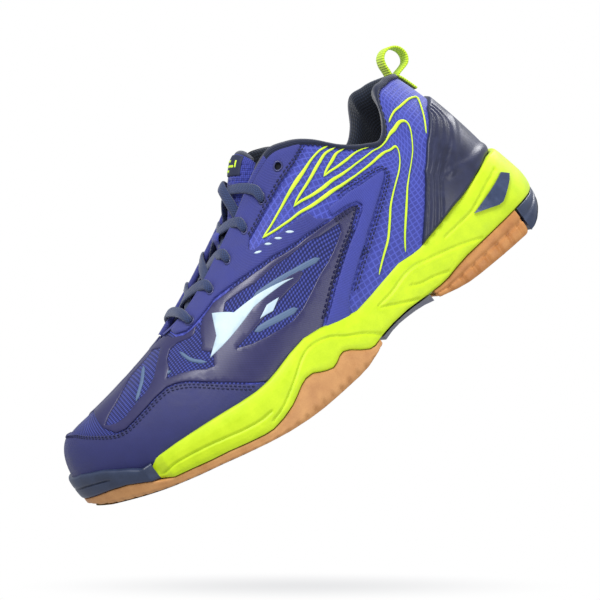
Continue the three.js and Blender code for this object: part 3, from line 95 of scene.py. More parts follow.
# ---------- helpers ----------
def crom(xk,yk,x):
    # non-uniform Catmull-Rom (C1 cubic hermite, finite-difference tangents)
    xk=np.asarray(xk,float); yk=np.asarray(yk,float); x=np.asarray(x,float)
    one=yk.ndim==1
    if one: yk=yk[:,None]
    h=np.diff(xk)[:,None]; d=np.diff(yk,axis=0)/h
    m=np.zeros_like(yk); m[0]=d[0]; m[-1]=d[-1]
    m[1:-1]=(h[1:]*d[:-1]+h[:-1]*d[1:])/(h[1:]+h[:-1])
    i=np.clip(np.searchsorted(xk,x,side='right')-1,0,len(xk)-2)
    H=np.diff(xk)[i]; t=(x-xk[i])/H
    t=t[...,None]; H=H[...,None]
    r=(2*t**3-3*t**2+1)*yk[i]+(t**3-2*t**2+t)*H*m[i]+(-2*t**3+3*t**2)*yk[i+1]+(t**3-t**2)*H*m[i+1]
    return r[...,0] if one else r
# ---------- plan outline of the sole at its widest ----------
# key: (X, Y) heel back centre -> lateral -> toe tip
PLAN_LAT=np.array([(0,0),(3,14),(10,25),(22,33),(40,37.5),(60,38.5),(80,38.2),(100,38.5),(120,40.5),(140,44.5),(160,49.5),(178,53),(195,54),(210,52.5),(225,48.5),(240,41.5),(253,33),(264,23.5),(273,13.5),(280,3),(284,-6),(285,-13)],float)
PLAN_MED=np.array([(0,0),(3,-14),(10,-25),(22,-32.5),(40,-36.5),(60,-36),(80,-34),(100,-31.5),(120,-30),(140,-31),(160,-34.5),(180,-40.5),(198,-46),(214,-49.5),(230,-50.5),(246,-49),(260,-45),(271,-39),(279,-31),(283.5,-22),(285,-13)],float)
def _arc(P):
    d=np.r_[0,np.cumsum(np.hypot(*np.diff(P,axis=0).T)**0.5)]
    return d/d[-1]
def plan(side,s,n=1200,raw=False):
    """outline point at arc fraction s (0 heel back, 1 toe tip)"""
    P=PLAN_LAT if side>0 else PLAN_MED
    q=PLAN_MED if side>0 else PLAN_LAT
    ext=np.vstack([q[1],P,q[-2]])
    k=np.r_[0,np.cumsum(np.hypot(*np.diff(ext,axis=0).T)**0.5)]
    u=np.linspace(k[1],k[-2],n)
    C=crom(k,ext,u)
    L=np.r_[0,np.cumsum(np.hypot(*np.diff(C,axis=0).T))]
    L/=L[-1]
    s=np.asarray(s,float)
    if side<0 and not raw: s=_share(s)
    return np.stack([np.interp(s,L,C[:,0]),np.interp(s,L,C[:,1])],-1)
_sh=[]
def _share(s):
    """outline fraction of the inner side that stands opposite fraction s of the outer side"""
    if not _sh:
        X=np.array([r[0] for r in RL],float); u=np.linspace(0,1,2001)
        a=np.interp(X,plan(1,u)[:,0],u); b=np.interp(X,plan(-1,u,raw=True)[:,0],u); a[0]=b[0]=0; a[-1]=b[-1]=1
        _sh.append((a,b))
    return np.interp(s,*_sh[0])
def plan_normal(side,s):
    e=1e-3
    a=plan(side,np.clip(np.asarray(s)-e,0,1)); b=plan(side,np.clip(np.asarray(s)+e,0,1))
    t=b-a; t/=np.linalg.norm(t,axis=-1,keepdims=True)
    n=np.stack([t[...,1],-t[...,0]],-1)*side*-1
    # exact at the ends
    n=np.where((np.asarray(s)<1e-6)[...,None],np.array([-1.,0.]),n)
    n=np.where((np.asarray(s)>1-1e-6)[...,None],np.array([1.,0.]),n)
    return n
def plan_s_of_x(side,X):
    s=np.linspace(0,1,2001); P=plan(side,s)
    return np.interp(X,P[:,0],s)
# ---------- base surface of the upper ----------
# per side: base X key on plan, inset, zB, T(x,y,z), phi (deg, 90 = across), P1 (out, up), P2 (len)
RL=[ # Xkey  inset zB    Tx    Ty    Tz     out1  up1   dx2  dy2  dz2
 (0.0,   7.0, 26,  25.5,   0, 103.8,   -3.5, 27,  -9,  0.0, -20),
 (5.0,   7.0, 26,  28,   8.5, 105.0,  -2.0, 27,  -8,  4.0, -20),
 (22,    6.0, 25, 36.5, 15.5, 106.8,   1.0, 25,  -4,  8.0, -20),
 (40,    5.0, 24, 46,   21.5, 104,     3.0, 22,  -1,  7.5, -21),
 (50,    4.5, 23.5, 51.5, 24.8, 92.5,  4.0, 20,   0,  6.5, -19),
 (60,    4.5, 23, 58,   26.8, 85.5,   4.0, 19,   0.5,6.0, -18),
 (75,    4.5, 22, 67.5, 27.6, 88,     4.0, 19,   1,  6.0, -18),
 (90,    4.5, 21, 78.5, 27.3, 95.8,   4.0, 21,   2,  6.5, -20),
 (105,   5.0, 20, 89,   25.8, 107.0,  4.0, 24,   3,  7.5, -22),
 (120,   5.5, 19.5, 99, 23.0, 113.2,  4.5, 26,   3.5,8.5, -23),
 (130,   6.0, 19, 108.5,20.0, 115.4,  5.0, 27,   3, 10.0, -23),
 (138,   6.5, 18.5, 117.5,16.8, 112,   5.5, 27.5, 2.5,11.5, -21),
 (146,   7.0, 18, 126.5,14.2, 106.8,   6.0, 27,   2, 13.0, -17),
 (154,   7.5, 17.7, 134,13.0, 101.8,   6.0, 26,   1.5,14.0, -13),
 (162,   8.0, 17.5, 143,12.5, 96.6,   6.0, 25,   1, 15.0, -10.5),
 (170,   8.0, 17.3, 152.5,12, 92.0,   6.0, 24,   0, 16.0, -9),
 (178,   8.5, 17.3, 162.5,12, 87.2,   6.0, 22.5, 0, 16.5, -8),
 (186,   8.5, 17.5, 173,12, 82.3,   5.5, 21,   0, 17.0, -7),
 (194,   8.5, 17.8, 183.5,11.5, 78.0,   5.5, 20,   0, 17.5, -6),
 (201,   8.5, 18.3, 192,10, 75.0,   5.0, 19,   0, 18.0, -5),
 (207,   8.5, 18.8, 198.5,7, 73.2,   5.0, 18,   0, 20.0, -4),
 (213,   8.5, 19.3, 203.5,3.3, 72.0,   4.5, 17.5,   0, 22.0, -2),
 (219,   8.5, 20, 208,0, 71.0,   4.5, 17,   0, 24.0, 0),
 (232,   8.2, 21.5, 222,  -1, 67.9,   4.0, 16.5, 0, 23.0, 0),
 (246,   7.5, 23.0, 238,  -3, 64.8,   3.0, 16.5, 2, 20.0, 0),
 (258,   6.5, 24.5, 250,  -5, 63.0,   2.5, 17,   5, 16.0, 0),
 (268,   5.5, 25.5, 257,  -6.5, 62.3,   2.0, 18,   9, 12.0, 0),
 (277,   4.0, 26.3, 261.5,-7.5, 61.9,   1.5, 19, 13, 7.0, 0),
 (282.5,   3.2, 26.8, 263.3,-8, 61.7,   1.0, 19.5, 15, 2.0, 0),
 (285,   3.0, 27, 264,  -8.2, 61.6,   0.5, 20,   15.5, -1.5, 0),
]
RM=[
 (0.0,   7.0, 26,  25.5,   0, 103.8,   -3.5, 27,  -9,  0.0, -20),
 (5.0,   7.0, 26,  28,   -8.5, 105.0,  -2.0, 27,  -8,  -4.0, -20),
 (22,    6.0, 25, 36.5, -15.5, 106.4,   1.0, 25,  -4,  -8.0, -20),
 (40,    5.0, 24, 46,  -21.0, 104,     3.0, 22,  -1,  -7.5, -21),
 (50,    4.5, 23.5, 51.5, -23.8, 93.5,  4.0, 20,   0,  -6.5, -19),
 (60,    4.5, 23, 58,   -25.4, 87,   4.0, 19,   0.5,-6.0, -18),
 (75,    4.0, 22, 67.5, -26.0, 89,   4.5, 19,   1,  -6.0, -18),
 (90,    3.5, 21, 78.5, -25.6, 96.4,   5.5, 21,   2,  -6.5, -20),
 (105,   3.0, 20, 89,   -24.2, 107.0,  6.5, 24,   3,  -7.5, -22),
 (120,   3.0, 19.5, 99, -22.0, 113.2,  7.0, 26,   3.5,-8.5, -23),
 (130,   3.0, 19, 108.5,-19.4, 115.4,  7.0, 28,   3, -10.0, -23),
 (138,   3.5, 18.5, 117.5,-16.6, 112,   7.0, 28.5, 2.5,-11.5, -21),
 (146,   4.0, 18, 126.5,-14.2, 106.8,   7.0, 28,   2, -13.0, -17),
 (154,   4.5, 17.7, 134,-13.0, 101.8,   7.0, 27,   1.5,-14.0, -13),
 (162,   5.0, 17.5, 143,-12.5, 96.6,   7.0, 26,   1, -15.0, -10.5),
 (170,   6.0, 17.3, 152.5,-12, 92.0,   7.0, 25,   0, -16.0, -9),
 (178,   6.5, 17.3, 162.5,-12, 87.2,   6.5, 24, 0, -16.5, -8),
 (186,   7.0, 17.5, 173,-12, 82.3,   6.5, 23,   0, -17.0, -7),
 (194,   7.5, 17.8, 183.5,-11.5, 78.0,   6.0, 22,   0, -18, -6),
 (201,   8, 18.3, 192,-10, 75.0,   6, 21.5,   0, -19.0, -5),
 (207,   8, 18.8, 198.5,-7, 73.2,   6, 21,   0, -21.0, -4),
 (213,   8, 19.3, 203.5,-3.3, 72.0,   5.5, 20.5,   0, -23.0, -2),
 (219,   8, 20, 208,0, 71.0,   5.5, 20,   0, -26.0, 0),
 (232,   8, 21.5, 222,  -1, 67.9,   5, 20, 0, -26.0, 0),
 (246,   7.5, 23.0, 238,  -3, 64.8,   4.0, 20, 1, -24.0, 0),
 (258,   6.8, 24.5, 250,  -5, 63.0,   3.5, 20,   3, -20.0, 0),
 (268,   6.0, 25.3, 257,  -6.5, 62.3,   3.0, 20,   6, -17.0, 0),
 (277,   5.0, 26.0, 261.5,-7.5, 61.9,   2.5, 20, 10, -12.0, 0),
 (282.5,   3.7, 26.6, 263.3,-8, 61.7,   1.2, 20, 14, -6.0, 0),
 (285,   3.0, 27, 264,  -8.2, 61.6,   0.5, 20,   15.5, -1.5, 0),
]
def _rib_tables(side):
    R=np.array(RL if side>0 else RM,float)
    sk=plan_s_of_x(1,R[:,0]); sk[0]=0; sk[-1]=1
    # x of toe part of the plan is nearly flat: give the last keys arc positions of their own
    return sk,R
_cache={}
def ribs(side,s):
    if side not in _cache:
        sk,R=_rib_tables(side)
        P=plan(side,sk); n=plan_normal(side,sk)
        B=np.c_[P-n*R[:,1:2],R[:,2]]
        T=R[:,3:6]
        P1=np.c_[B[:,:2]+n*R[:,6:7],B[:,2]+R[:,7]]
        P2=T+R[:,8:11]
        _cache[side]=(sk,np.hstack([B,P1,P2,T]))
    sk,C=_cache[side]
    r=crom(sk,C,s)
    return r[...,0:3],r[...,3:6],r[...,6:9],r[...,9:12]
def upper(side,s,t):
    s,t=np.broadcast_arrays(np.asarray(s,float),np.asarray(t,float))
    B,P1,P2,T=ribs(side,s)
    t=t[...,None]; u=1-t
    return u**3*B+3*u*u*t*P1+3*u*t*t*P2+t**3*T


# ---------------- surface in one unrolled coordinate ----------------
# u < 0 inner side, 0 heel, 0..1 outer side, 1 toe, u > 1 inner side again; v feather to top
def fold(u):
    u = np.asarray(u, float)
    side = np.where((u < 0) | (u > 1), -1, 1)
    return side, np.clip(np.where(u < 0, -u, np.where(u > 1, 2 - u, u)), 0, 1)


def base(u, v):
    u, v = np.broadcast_arrays(np.asarray(u, float), np.asarray(v, float))
    sd, s = fold(u)
    P = np.empty(u.shape + (3,))
    for k in (1, -1):
        m = sd == k
        if m.any():
            P[m] = upper(k, s[m], v[m])
    return P


def nrm0(u, v):
    e = 2.5e-3
    a = base(u + e, v) - base(u - e, v)
    b = base(u, v) - base(u, v - 2 * e)
    b = np.where((v < 2 * e + .01)[..., None], base(u, v + 2 * e) - base(u, v), b)
    n = -np.cross(a, b)
    return n / np.maximum(np.linalg.norm(n, axis=-1, keepdims=True), 1e-9)


def nrm(u, v):
    u, v = np.broadcast_arrays(np.asarray(u, float), np.asarray(v, float))
    n = nrm0(u, v)
    sd, s = fold(u)
    w = np.clip((v - .93) / .07, 0, 1) * np.clip((s - .705) / .02, 0, 1)
    if (w > 0).any():
        m = nrm0(np.where(u < 0, -u, np.where(u > 1, 2 - u, -u)), v)
        n = n * (1 - w[..., None] * .5) + m * w[..., None] * .5
        n /= np.linalg.norm(n, axis=-1, keepdims=True)
    return n


def surf(u, v, o=0.0):
    u, v, o = np.broadcast_arrays(np.asarray(u, float), np.asarray(v, float), np.asarray(o, float))
    return base(u, v) + nrm(u, v) * o[..., None]


def inset(sd, s, d, z):
    s = np.asarray(s, float)
    p = plan(sd, s) - plan_normal(sd, s) * np.broadcast_to(np.asarray(d, float), s.shape)[..., None]
    return np.concatenate([p, np.broadcast_to(np.asarray(z, float), s.shape)[..., None]], -1)


def uinset(u, d, z):
    u = np.asarray(u, float)
    d = np.broadcast_to(np.asarray(d, float), u.shape)
    z = np.broadcast_to(np.asarray(z, float), u.shape)
    sd, s = fold(u)
    P = np.empty(u.shape + (3,))
    for k in (1, -1):
        m = sd == k
        if m.any():
            P[m] = inset(k, s[m], d[m], z[m])
    return P


def uX(u):
    return uinset(u, 0, 0)[..., 0]


# ---------------- materials: every one procedural ----------------
def srgb(c):
    return tuple(((x / 255) / 12.92 if x / 255 <= .04045 else ((x / 255 + .055) / 1.055) ** 2.4) for x in c) + (1.0,)


def material(name, c1, c2, rough=(.5, .6), kind="grain", pitch=1.0, bump=.3, depth=.15, coat=0.0, coat_rough=.1, sheen=0.0, spec=.5, mix=1.0, metal=0.0, ior=1.45, scale=1.0):
    """kind picks the pattern: weave, ribs, dots, ripstop or grain; pitch is its size in millimetres."""
    m = bpy.data.materials.new(name)
    m.use_nodes = True
    nt = m.node_tree
    N, L = nt.nodes, nt.links
    b = N["Principled BSDF"]
    b.inputs["Sheen Weight"].default_value = sheen
    b.inputs["Coat Weight"].default_value = coat
    b.inputs["Coat Roughness"].default_value = coat_rough
    b.inputs["Specular IOR Level"].default_value = spec
    b.inputs["IOR"].default_value = ior
    b.inputs["Metallic"].default_value = metal
    tc = N.new("ShaderNodeTexCoord")
    uvk = kind != "grain"
    src = tc.outputs["UV" if uvk else "Object"]

    def math_(op, a, b_=None, v=None):
        n = N.new("ShaderNodeMath"); n.operation = op
        L.new(a, n.inputs[0])
        if b_ is not None:
            L.new(b_, n.inputs[1])
        elif v is not None:
            n.inputs[1].default_value = v
        return n.outputs[0]

    no = N.new("ShaderNodeTexNoise")
    no.inputs["Scale"].default_value = 140.0 * scale
    no.inputs["Detail"].default_value = 5.0
    L.new(tc.outputs["Object"], no.inputs["Vector"])
    fine = N.new("ShaderNodeTexNoise")
    fine.inputs["Scale"].default_value = 1600.0 / pitch
    fine.inputs["Detail"].default_value = 3.0
    L.new(tc.outputs["Object"], fine.inputs["Vector"])
    if uvk:
        sep = N.new("ShaderNodeSeparateXYZ")
        L.new(src, sep.inputs[0])
        k = 2 * math.pi / pitch
        sx = math_("SINE", math_("MULTIPLY", sep.outputs["X"], v=k))
        sy = math_("SINE", math_("MULTIPLY", sep.outputs["Y"], v=k))
        if kind == "weave":
            h = math_("ADD", math_("MULTIPLY", math_("MULTIPLY", sx, sy), v=.5), v=.5)
        elif kind == "ribs":
            h = math_("ADD", math_("MULTIPLY", sy, v=.5), v=.5)
        elif kind == "ribsx":
            h = math_("ADD", math_("MULTIPLY", sx, v=.5), v=.5)
        elif kind == "dots":
            h = math_("SUBTRACT", math_("MULTIPLY", math_("ADD", sx, sy), v=.25), v=-.5)
            h = math_("POWER", h, v=1.6)
        elif kind == "ripstop":
            k2 = 2 * math.pi / (pitch * 6.5)
            gx = math_("POWER", math_("ABSOLUTE", math_("SINE", math_("MULTIPLY", sep.outputs["X"], v=k2))), v=18.0)
            gy = math_("POWER", math_("ABSOLUTE", math_("SINE", math_("MULTIPLY", sep.outputs["Y"], v=k2))), v=18.0)
            w = math_("ADD", math_("MULTIPLY", math_("MULTIPLY", sx, sy), v=.22), v=.35)
            h = math_("MINIMUM", math_("ADD", w, math_("MULTIPLY", math_("MAXIMUM", gx, gy), v=.55)), v=1.0)
        height = math_("ADD", math_("MULTIPLY", h, v=.85), math_("MULTIPLY", fine.outputs["Fac"], v=.15))
        fac = math_("ADD", math_("MULTIPLY", h, v=.7), math_("MULTIPLY", no.outputs["Fac"], v=.3))
    else:
        height = fine.outputs["Fac"]
        fac = math_("ADD", math_("MULTIPLY", no.outputs["Fac"], v=.75), math_("MULTIPLY", fine.outputs["Fac"], v=.25))
    ramp = N.new("ShaderNodeMapRange")
    L.new(fac, ramp.inputs["Value"])
    ramp.inputs["From Min"].default_value = .3
    ramp.inputs["From Max"].default_value = .7
    mx = N.new("ShaderNodeMix"); mx.data_type = "RGBA"
    L.new(ramp.outputs[0], mx.inputs[0])
    mx.inputs[6].default_value = srgb(c1)
    mx.inputs[7].default_value = srgb(c2)
    L.new(mx.outputs[2], b.inputs["Base Color"])
    rr = N.new("ShaderNodeMapRange")
    L.new(no.outputs["Fac"], rr.inputs["Value"])
    rr.inputs["From Min"].default_value = .3
    rr.inputs["From Max"].default_value = .7
    rr.inputs["To Min"].default_value = rough[0]
    rr.inputs["To Max"].default_value = rough[1]
    L.new(rr.outputs[0], b.inputs["Roughness"])
    bp = N.new("ShaderNodeBump")
    bp.inputs["Strength"].default_value = bump
    bp.inputs["Distance"].default_value = depth * .001
    L.new(height, bp.inputs["Height"])
    L.new(bp.outputs[0], b.inputs["Normal"])
    return m


M = dict(
    lime=material("lime_foam", (186, 216, 12), (206, 232, 30), (.45, .58), "grain", 1.4, .35, .14, spec=.4, sheen=.08),
    gum=material("gum_rubber", (176, 112, 58), (208, 146, 84), (.45, .6), "grain", 1.2, .3, .1),
    tan=material("tan_rubber", (186, 128, 74), (214, 158, 100), (.45, .6), "grain", 1.2, .3, .1),
    slate=material("slate_rubber", (36, 46, 70), (52, 64, 92), (.35, .5), "grain", 1.4, .25, .1, coat=.15, coat_rough=.3),
    badge=material("slate_badge", (40, 52, 84), (62, 78, 112), (.16, .28), "grain", 2.0, .1, .05, coat=.5, coat_rough=.1, metal=.2),
    navy=material("navy_plastic", (26, 30, 54), (40, 45, 76), (.26, .38), "grain", 2.2, .18, .08, coat=.4, coat_rough=.2),
    counter=material("counter_shell", (24, 27, 52), (38, 43, 76), (.34, .46), "grain", 1.6, .3, .1, coat=.2, coat_rough=.35),
    film=material("purple_film", (29, 27, 70), (42, 40, 94), (.34, .46), "weave", 1.2, .3, .08, coat=.25, coat_rough=.25),
    mesh=material("vamp_mesh", (26, 30, 82), (70, 80, 164), (.7, .85), "dots", 1.7, .8, .4, sheen=.2, spec=.3),
    strips=material("window_strips", (70, 92, 128), (96, 118, 146), (.45, .6), "weave", 1.0, .4, .15),
    blue=material("blue_fabric", (38, 42, 108), (58, 64, 146), (.55, .7), "weave", .9, .7, .2, sheen=.25, spec=.4),
    rip=material("ripstop", (44, 50, 138), (78, 88, 188), (.5, .66), "ripstop", .95, .7, .2, sheen=.2, spec=.4),
    strap=material("strap_fabric", (46, 52, 132), (68, 76, 168), (.5, .66), "weave", 1.0, .6, .18, sheen=.2, spec=.4),
    cap=material("cap_fabric", (30, 32, 82), (44, 48, 112), (.42, .55), "weave", .9, .6, .16, sheen=.15, spec=.5),
    line=material("lime_line", (200, 234, 30), (222, 248, 60), (.35, .5), "grain", 1.0, .2, .06),
    pale=material("pale_mark", (176, 198, 210), (202, 220, 230), (.35, .5), "grain", 1.0, .2, .05),
    lining=material("lining_mesh", (16, 22, 34), (34, 44, 62), (.8, .92), "dots", 1.6, .8, .3, sheen=.4, spec=.25),
    bind=material("binding_knit", (18, 24, 42), (34, 42, 70), (.75, .9), "ribs", .8, .7, .2, sheen=.4, spec=.25),
    tongue=material("tongue_mesh", (34, 40, 118), (66, 76, 172), (.65, .8), "dots", 1.1, .6, .2, sheen=.25, spec=.3),
    label=material("label_weave", (22, 28, 52), (38, 46, 78), (.55, .7), "weave", .5, .5, .1),
    web=material("lime_webbing", (178, 214, 22), (212, 240, 50), (.6, .75), "ribs", 1.3, .9, .3, sheen=.2),
    lace=material("lace_cord", (22, 34, 66), (48, 66, 112), (.65, .8), "weave", 1.1, .9, .3, sheen=.35, spec=.3),
    thread=material("thread", (18, 20, 52), (34, 38, 82), (.5, .65), "grain", .6, .4, .05),
    ring=material("eyelet_ring", (36, 40, 88), (58, 62, 118), (.35, .5), "grain", 1.0, .2, .05, coat=.2),
    foot=material("footbed_knit", (34, 42, 84), (54, 66, 116), (.8, .92), "weave", 1.0, .6, .2, sheen=.3, spec=.25),
    board=material("board_fibre", (150, 146, 136), (176, 172, 162), (.8, .92), "grain", .8, .5, .1),
    # painted shade: near-black material for the discs that close the eyelet holes, standing in for the shade inside
    # them
    eyelet_hole_shade=material("painted_eyelet_hole_shade", (10, 13, 22), (18, 22, 34), (.85, .95), "grain", 1.0, .4, .1),
)


# ---------------- mesh helpers ----------------
def obj(name, V, F, mat, body="shoe", uv=None, slot=None, out=None):
    V = np.asarray(V, float).reshape(-1, 3)
    F = [tuple(int(i) for i in f) for f in F]
    if out is not None and F:
        f = A([x[:3] for x in F])
        n = np.cross(V[f[:, 1]] - V[f[:, 0]], V[f[:, 2]] - V[f[:, 0]])
        if (n * out[f[:, 0]]).sum() < 0:
            F = [x[::-1] for x in F]
    me = bpy.data.meshes.new(name)
    me.from_pydata(D(V).tolist(), [], F)
    if uv is not None:
        lay = me.uv_layers.new(name="UVMap")
        idx = np.empty(len(me.loops), np.int32)
        me.loops.foreach_get("vertex_index", idx)
        lay.data.foreach_set("uv", np.asarray(uv, np.float32)[idx].ravel())
    me.polygons.foreach_set("use_smooth", [True] * len(me.polygons))
    me.materials.append(mat)
    me.validate()
    me.update()
    o = bpy.data.objects.new(name, me)
    bpy.context.scene.collection.objects.link(o)
    if body:
        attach(o, body)
    return o


def gridfaces(n, m, cu=False, cv=False, base_=0):
    F = []
    for i in range(n if cu else n - 1):
        for j in range(m if cv else m - 1):
            a, b = i * m + j, i * m + (j + 1) % m
            c, d = ((i + 1) % n) * m + (j + 1) % m, ((i + 1) % n) * m + j
            F.append((base_ + a, base_ + b, base_ + c, base_ + d))
    return F


def grid(name, P, mat, cu=False, cv=False, uv=None, flip=False, **kw):
    n, m = P.shape[:2]
    F = gridfaces(n, m, cu, cv)
    if flip:
        F = [f[::-1] for f in F]
    if uv is None:
        du = np.r_[0, np.cumsum(np.linalg.norm(np.diff(P[:, m // 2], axis=0), axis=-1))]
        dv = np.r_[0, np.cumsum(np.linalg.norm(np.diff(P[n // 2], axis=0), axis=-1))]
        uv = np.stack(np.meshgrid(du, dv, indexing="ij"), -1).reshape(-1, 2)
    return obj(name, P.reshape(-1, 3), F, mat, uv=uv, **kw)


def resample(P, step, closed=False):
    P = np.asarray(P, float)
    if closed:
        P = np.vstack([P, P[:1]])
    out = []
    for a, b in zip(P[:-1], P[1:]):
        k = max(1, int(math.ceil(np.linalg.norm(b - a) / step)))
        out += [a + (b - a) * i / k for i in range(k)]
    if not closed:
        out.append(P[-1])
    return A(out)


def smooth(P, it=2, closed=False):
    P = np.asarray(P, float)
    for _ in range(it):
        if closed:
            P = (np.roll(P, 1, 0) + 2 * P + np.roll(P, -1, 0)) / 4
        else:
            Q = P.copy()
            Q[1:-1] = (P[:-2] + 2 * P[1:-1] + P[2:]) / 4
            P = Q
    return P


def inside(Q, poly):
    x, y = Q[:, 0:1], Q[:, 1:2]
    a, b = poly, np.roll(poly, -1, 0)
    c = (a[:, 1] > y) != (b[:, 1] > y)
    with np.errstate(divide="ignore", invalid="ignore"):
        xi = (b[:, 0] - a[:, 0]) * (y - a[:, 1]) / (b[:, 1] - a[:, 1]) + a[:, 0]
    return (np.sum(c & (x < xi), 1) % 2) == 1


def dist(Q, poly, closed=True):
    a = poly if closed else poly[:-1]
    b = np.roll(poly, -1, 0) if closed else poly[1:]
    d = b - a
    l = np.maximum((d * d).sum(1), 1e-12)
    out = np.full(len(Q), 1e9)
    for i0 in range(0, len(Q), 4000):
        q = Q[i0:i0 + 4000, None]
        t = np.clip(((q - a) * d).sum(2) / l, 0, 1)
        out[i0:i0 + 4000] = np.sqrt((((q - a) - t[..., None] * d) ** 2).sum(2)).min(1)
    return out


def sheetmesh(poly, holes, r, step, bstep=1.5):
    """flat triangulation of an outline with rings of points near its edges; returns points, distance to the edge, triangles"""
    loops = [resample(poly, bstep, True)] + [resample(h, .7, True) for h in holes]
    ok = lambda q: inside(q, loops[0]) & ~np.any([inside(q, h) for h in loops[1:]], axis=0) if len(loops) > 1 else inside(q, loops[0])
    dd = lambda q: np.min([dist(q, l) for l in loops], axis=0)
    x0, y0 = loops[0].min(0); x1, y1 = loops[0].max(0)
    gx, gy = np.meshgrid(np.arange(x0, x1, step), np.arange(y0, y1, step * .866))
    gx = gx + (np.arange(gx.shape[0]) % 2)[:, None] * step / 2
    g = np.c_[gx.ravel(), gy.ravel()]
    g = g[ok(g)]
    g = g[dd(g) > r * 1.2 + step * .25]
    pts = [g]
    for l in loops:
        t = np.roll(l, -1, 0) - np.roll(l, 1, 0)
        n = np.c_[-t[:, 1], t[:, 0]] / np.maximum(np.linalg.norm(t, axis=1, keepdims=True), 1e-9)
        for f in (.14, .45, 1.0):
            for sg in (1, -1):
                q = l + n * sg * r * f
                q = q[ok(q)]
                if len(q):
                    pts.append(q[dd(q) > r * f * .93])
    P = np.vstack(loops + pts)
    E = []
    k = 0
    for l in loops:
        E += [(k + i, k + (i + 1) % len(l)) for i in range(len(l))]
        k += len(l)
    v, e, f, *_ = delaunay_2d_cdt([Vector(p) for p in P.tolist()], E, [], 0, 1e-4)
    v = A([tuple(q) for q in v]); f = A([tuple(q) for q in f if len(q) == 3])
    c = v[f].mean(1)
    f = f[ok(c)]
    used = np.unique(f)
    re = np.full(len(v), -1); re[used] = np.arange(len(used))
    v = v[used]; f = re[f]
    return v, dd(v), f


def panel(name, poly, mat, top, r=1.0, edge=-.3, holes=(), step=2.4, disp=None, bstep=1.5, tuck=False, **kw):
    q, d, f = sheetmesh(np.asarray(poly, float) * [US, VS], [np.asarray(h, float) * [US, VS] for h in holes], r, step, bstep)
    k = np.clip(d / r, 0, 1)
    o = edge + (top - edge) * np.sqrt(np.maximum(0, 1 - (1 - k) ** 2))
    u, v = q[:, 0] / US, q[:, 1] / VS
    if disp is not None:
        o = o + disp(u, v, d) * k
    if tuck:
        z = surf(u, v, o)[:, 2]
        k2 = np.clip((z - lin(Z_LIME, uX(u)) + .3) / 1.6, 0, 1)
        o = o * k2 * k2 * (3 - 2 * k2)
    return obj(name, surf(u, v, o), f, mat, uv=q * [.82, 1.0], out=nrm(u, v), **kw)


def ribbon(name, pts, mat, width, o, height=.45, body="shoe", step=1.2, closed=False, taper=True, **kw):
    """raised line laid on the upper; width may be a number or a list along the line"""
    P = np.asarray(pts, float) * [US, VS]
    P = smooth(resample(P, step, closed), 14, closed)
    t = np.gradient(P, axis=0)
    t /= np.maximum(np.linalg.norm(t, axis=1, keepdims=True), 1e-9)
    n = np.c_[-t[:, 1], t[:, 0]]
    L = np.linspace(0, 1, len(P))
    w = np.interp(L, np.linspace(0, 1, len(np.atleast_1d(width))), np.atleast_1d(width)) / 2
    if taper and not closed:
        w = w * np.clip(np.minimum(L, 1 - L) * len(P) / 3 + .15, 0, 1)
    c = A([(-1, -.25), (-.8, .6), (-.35, 1), (.35, 1), (.8, .6), (1, -.25)])
    Q = P[:, None] + n[:, None] * (w[:, None] * c[:, 0])[..., None]
    u, v = Q[..., 0] / US, Q[..., 1] / VS
    return grid(name, surf(u, v, o + height * c[:, 1]), mat, uv=Q.reshape(-1, 2), body=body, **kw)


def stitches(name, lines, o, mat=None, pitch=2.9, length=2.1, r=.42, body="shoe"):
    V, F = [], []
    ring = [(math.cos(a), math.sin(a)) for a in np.arange(6) * math.pi / 3]
    for pts in lines:
        P = smooth(resample(np.asarray(pts, float) * [US, VS], 1.0), 2)
        L = np.r_[0, np.cumsum(np.linalg.norm(np.diff(P, axis=0), axis=1))]
        for a in np.arange(.6, L[-1] - length, pitch):
            x = a + length * A([0, .15, .5, .85, 1])
            q = np.c_[np.interp(x, L, P[:, 0]), np.interp(x, L, P[:, 1])]
            u, v = q[:, 0] / US, q[:, 1] / VS
            C = surf(u, v, o + A([-.35, .05, .15, .05, -.35]))
            n = nrm(u, v)
            t = np.gradient(C, axis=0); t /= np.linalg.norm(t, axis=1, keepdims=True)
            b = np.cross(t, n)
            rr = r * A([.45, .9, 1, .9, .45])
            k = len(V)
            for i in range(5):
                V += [C[i] + (b[i] * c + n[i] * s * .85) * rr[i] for c, s in ring]
            for i in range(4):
                for j in range(6):
                    F.append((k + i * 6 + j, k + i * 6 + (j + 1) % 6, k + (i + 1) * 6 + (j + 1) % 6, k + (i + 1) * 6 + j))
            F.append(tuple(k + j for j in range(5, -1, -1)))
            F.append(tuple(k + 24 + j for j in range(6)))
    return obj(name, A(V), F, mat or M["thread"], body=body)


def off2(pts, d):
    """polyline moved sideways by d mm in the unrolled plane"""
    P = np.asarray(pts, float) * [US, VS]
    P = smooth(resample(P, 2.0), 2)
    t = np.gradient(P, axis=0)
    t /= np.linalg.norm(t, axis=1, keepdims=True)
    return (P + np.c_[-t[:, 1], t[:, 0]] * d) / [US, VS]


def side(C, sd):
    return [(s * sd, t) for s, t in C]


SIDES = ((1, "lateral"), (-1, "medial"))

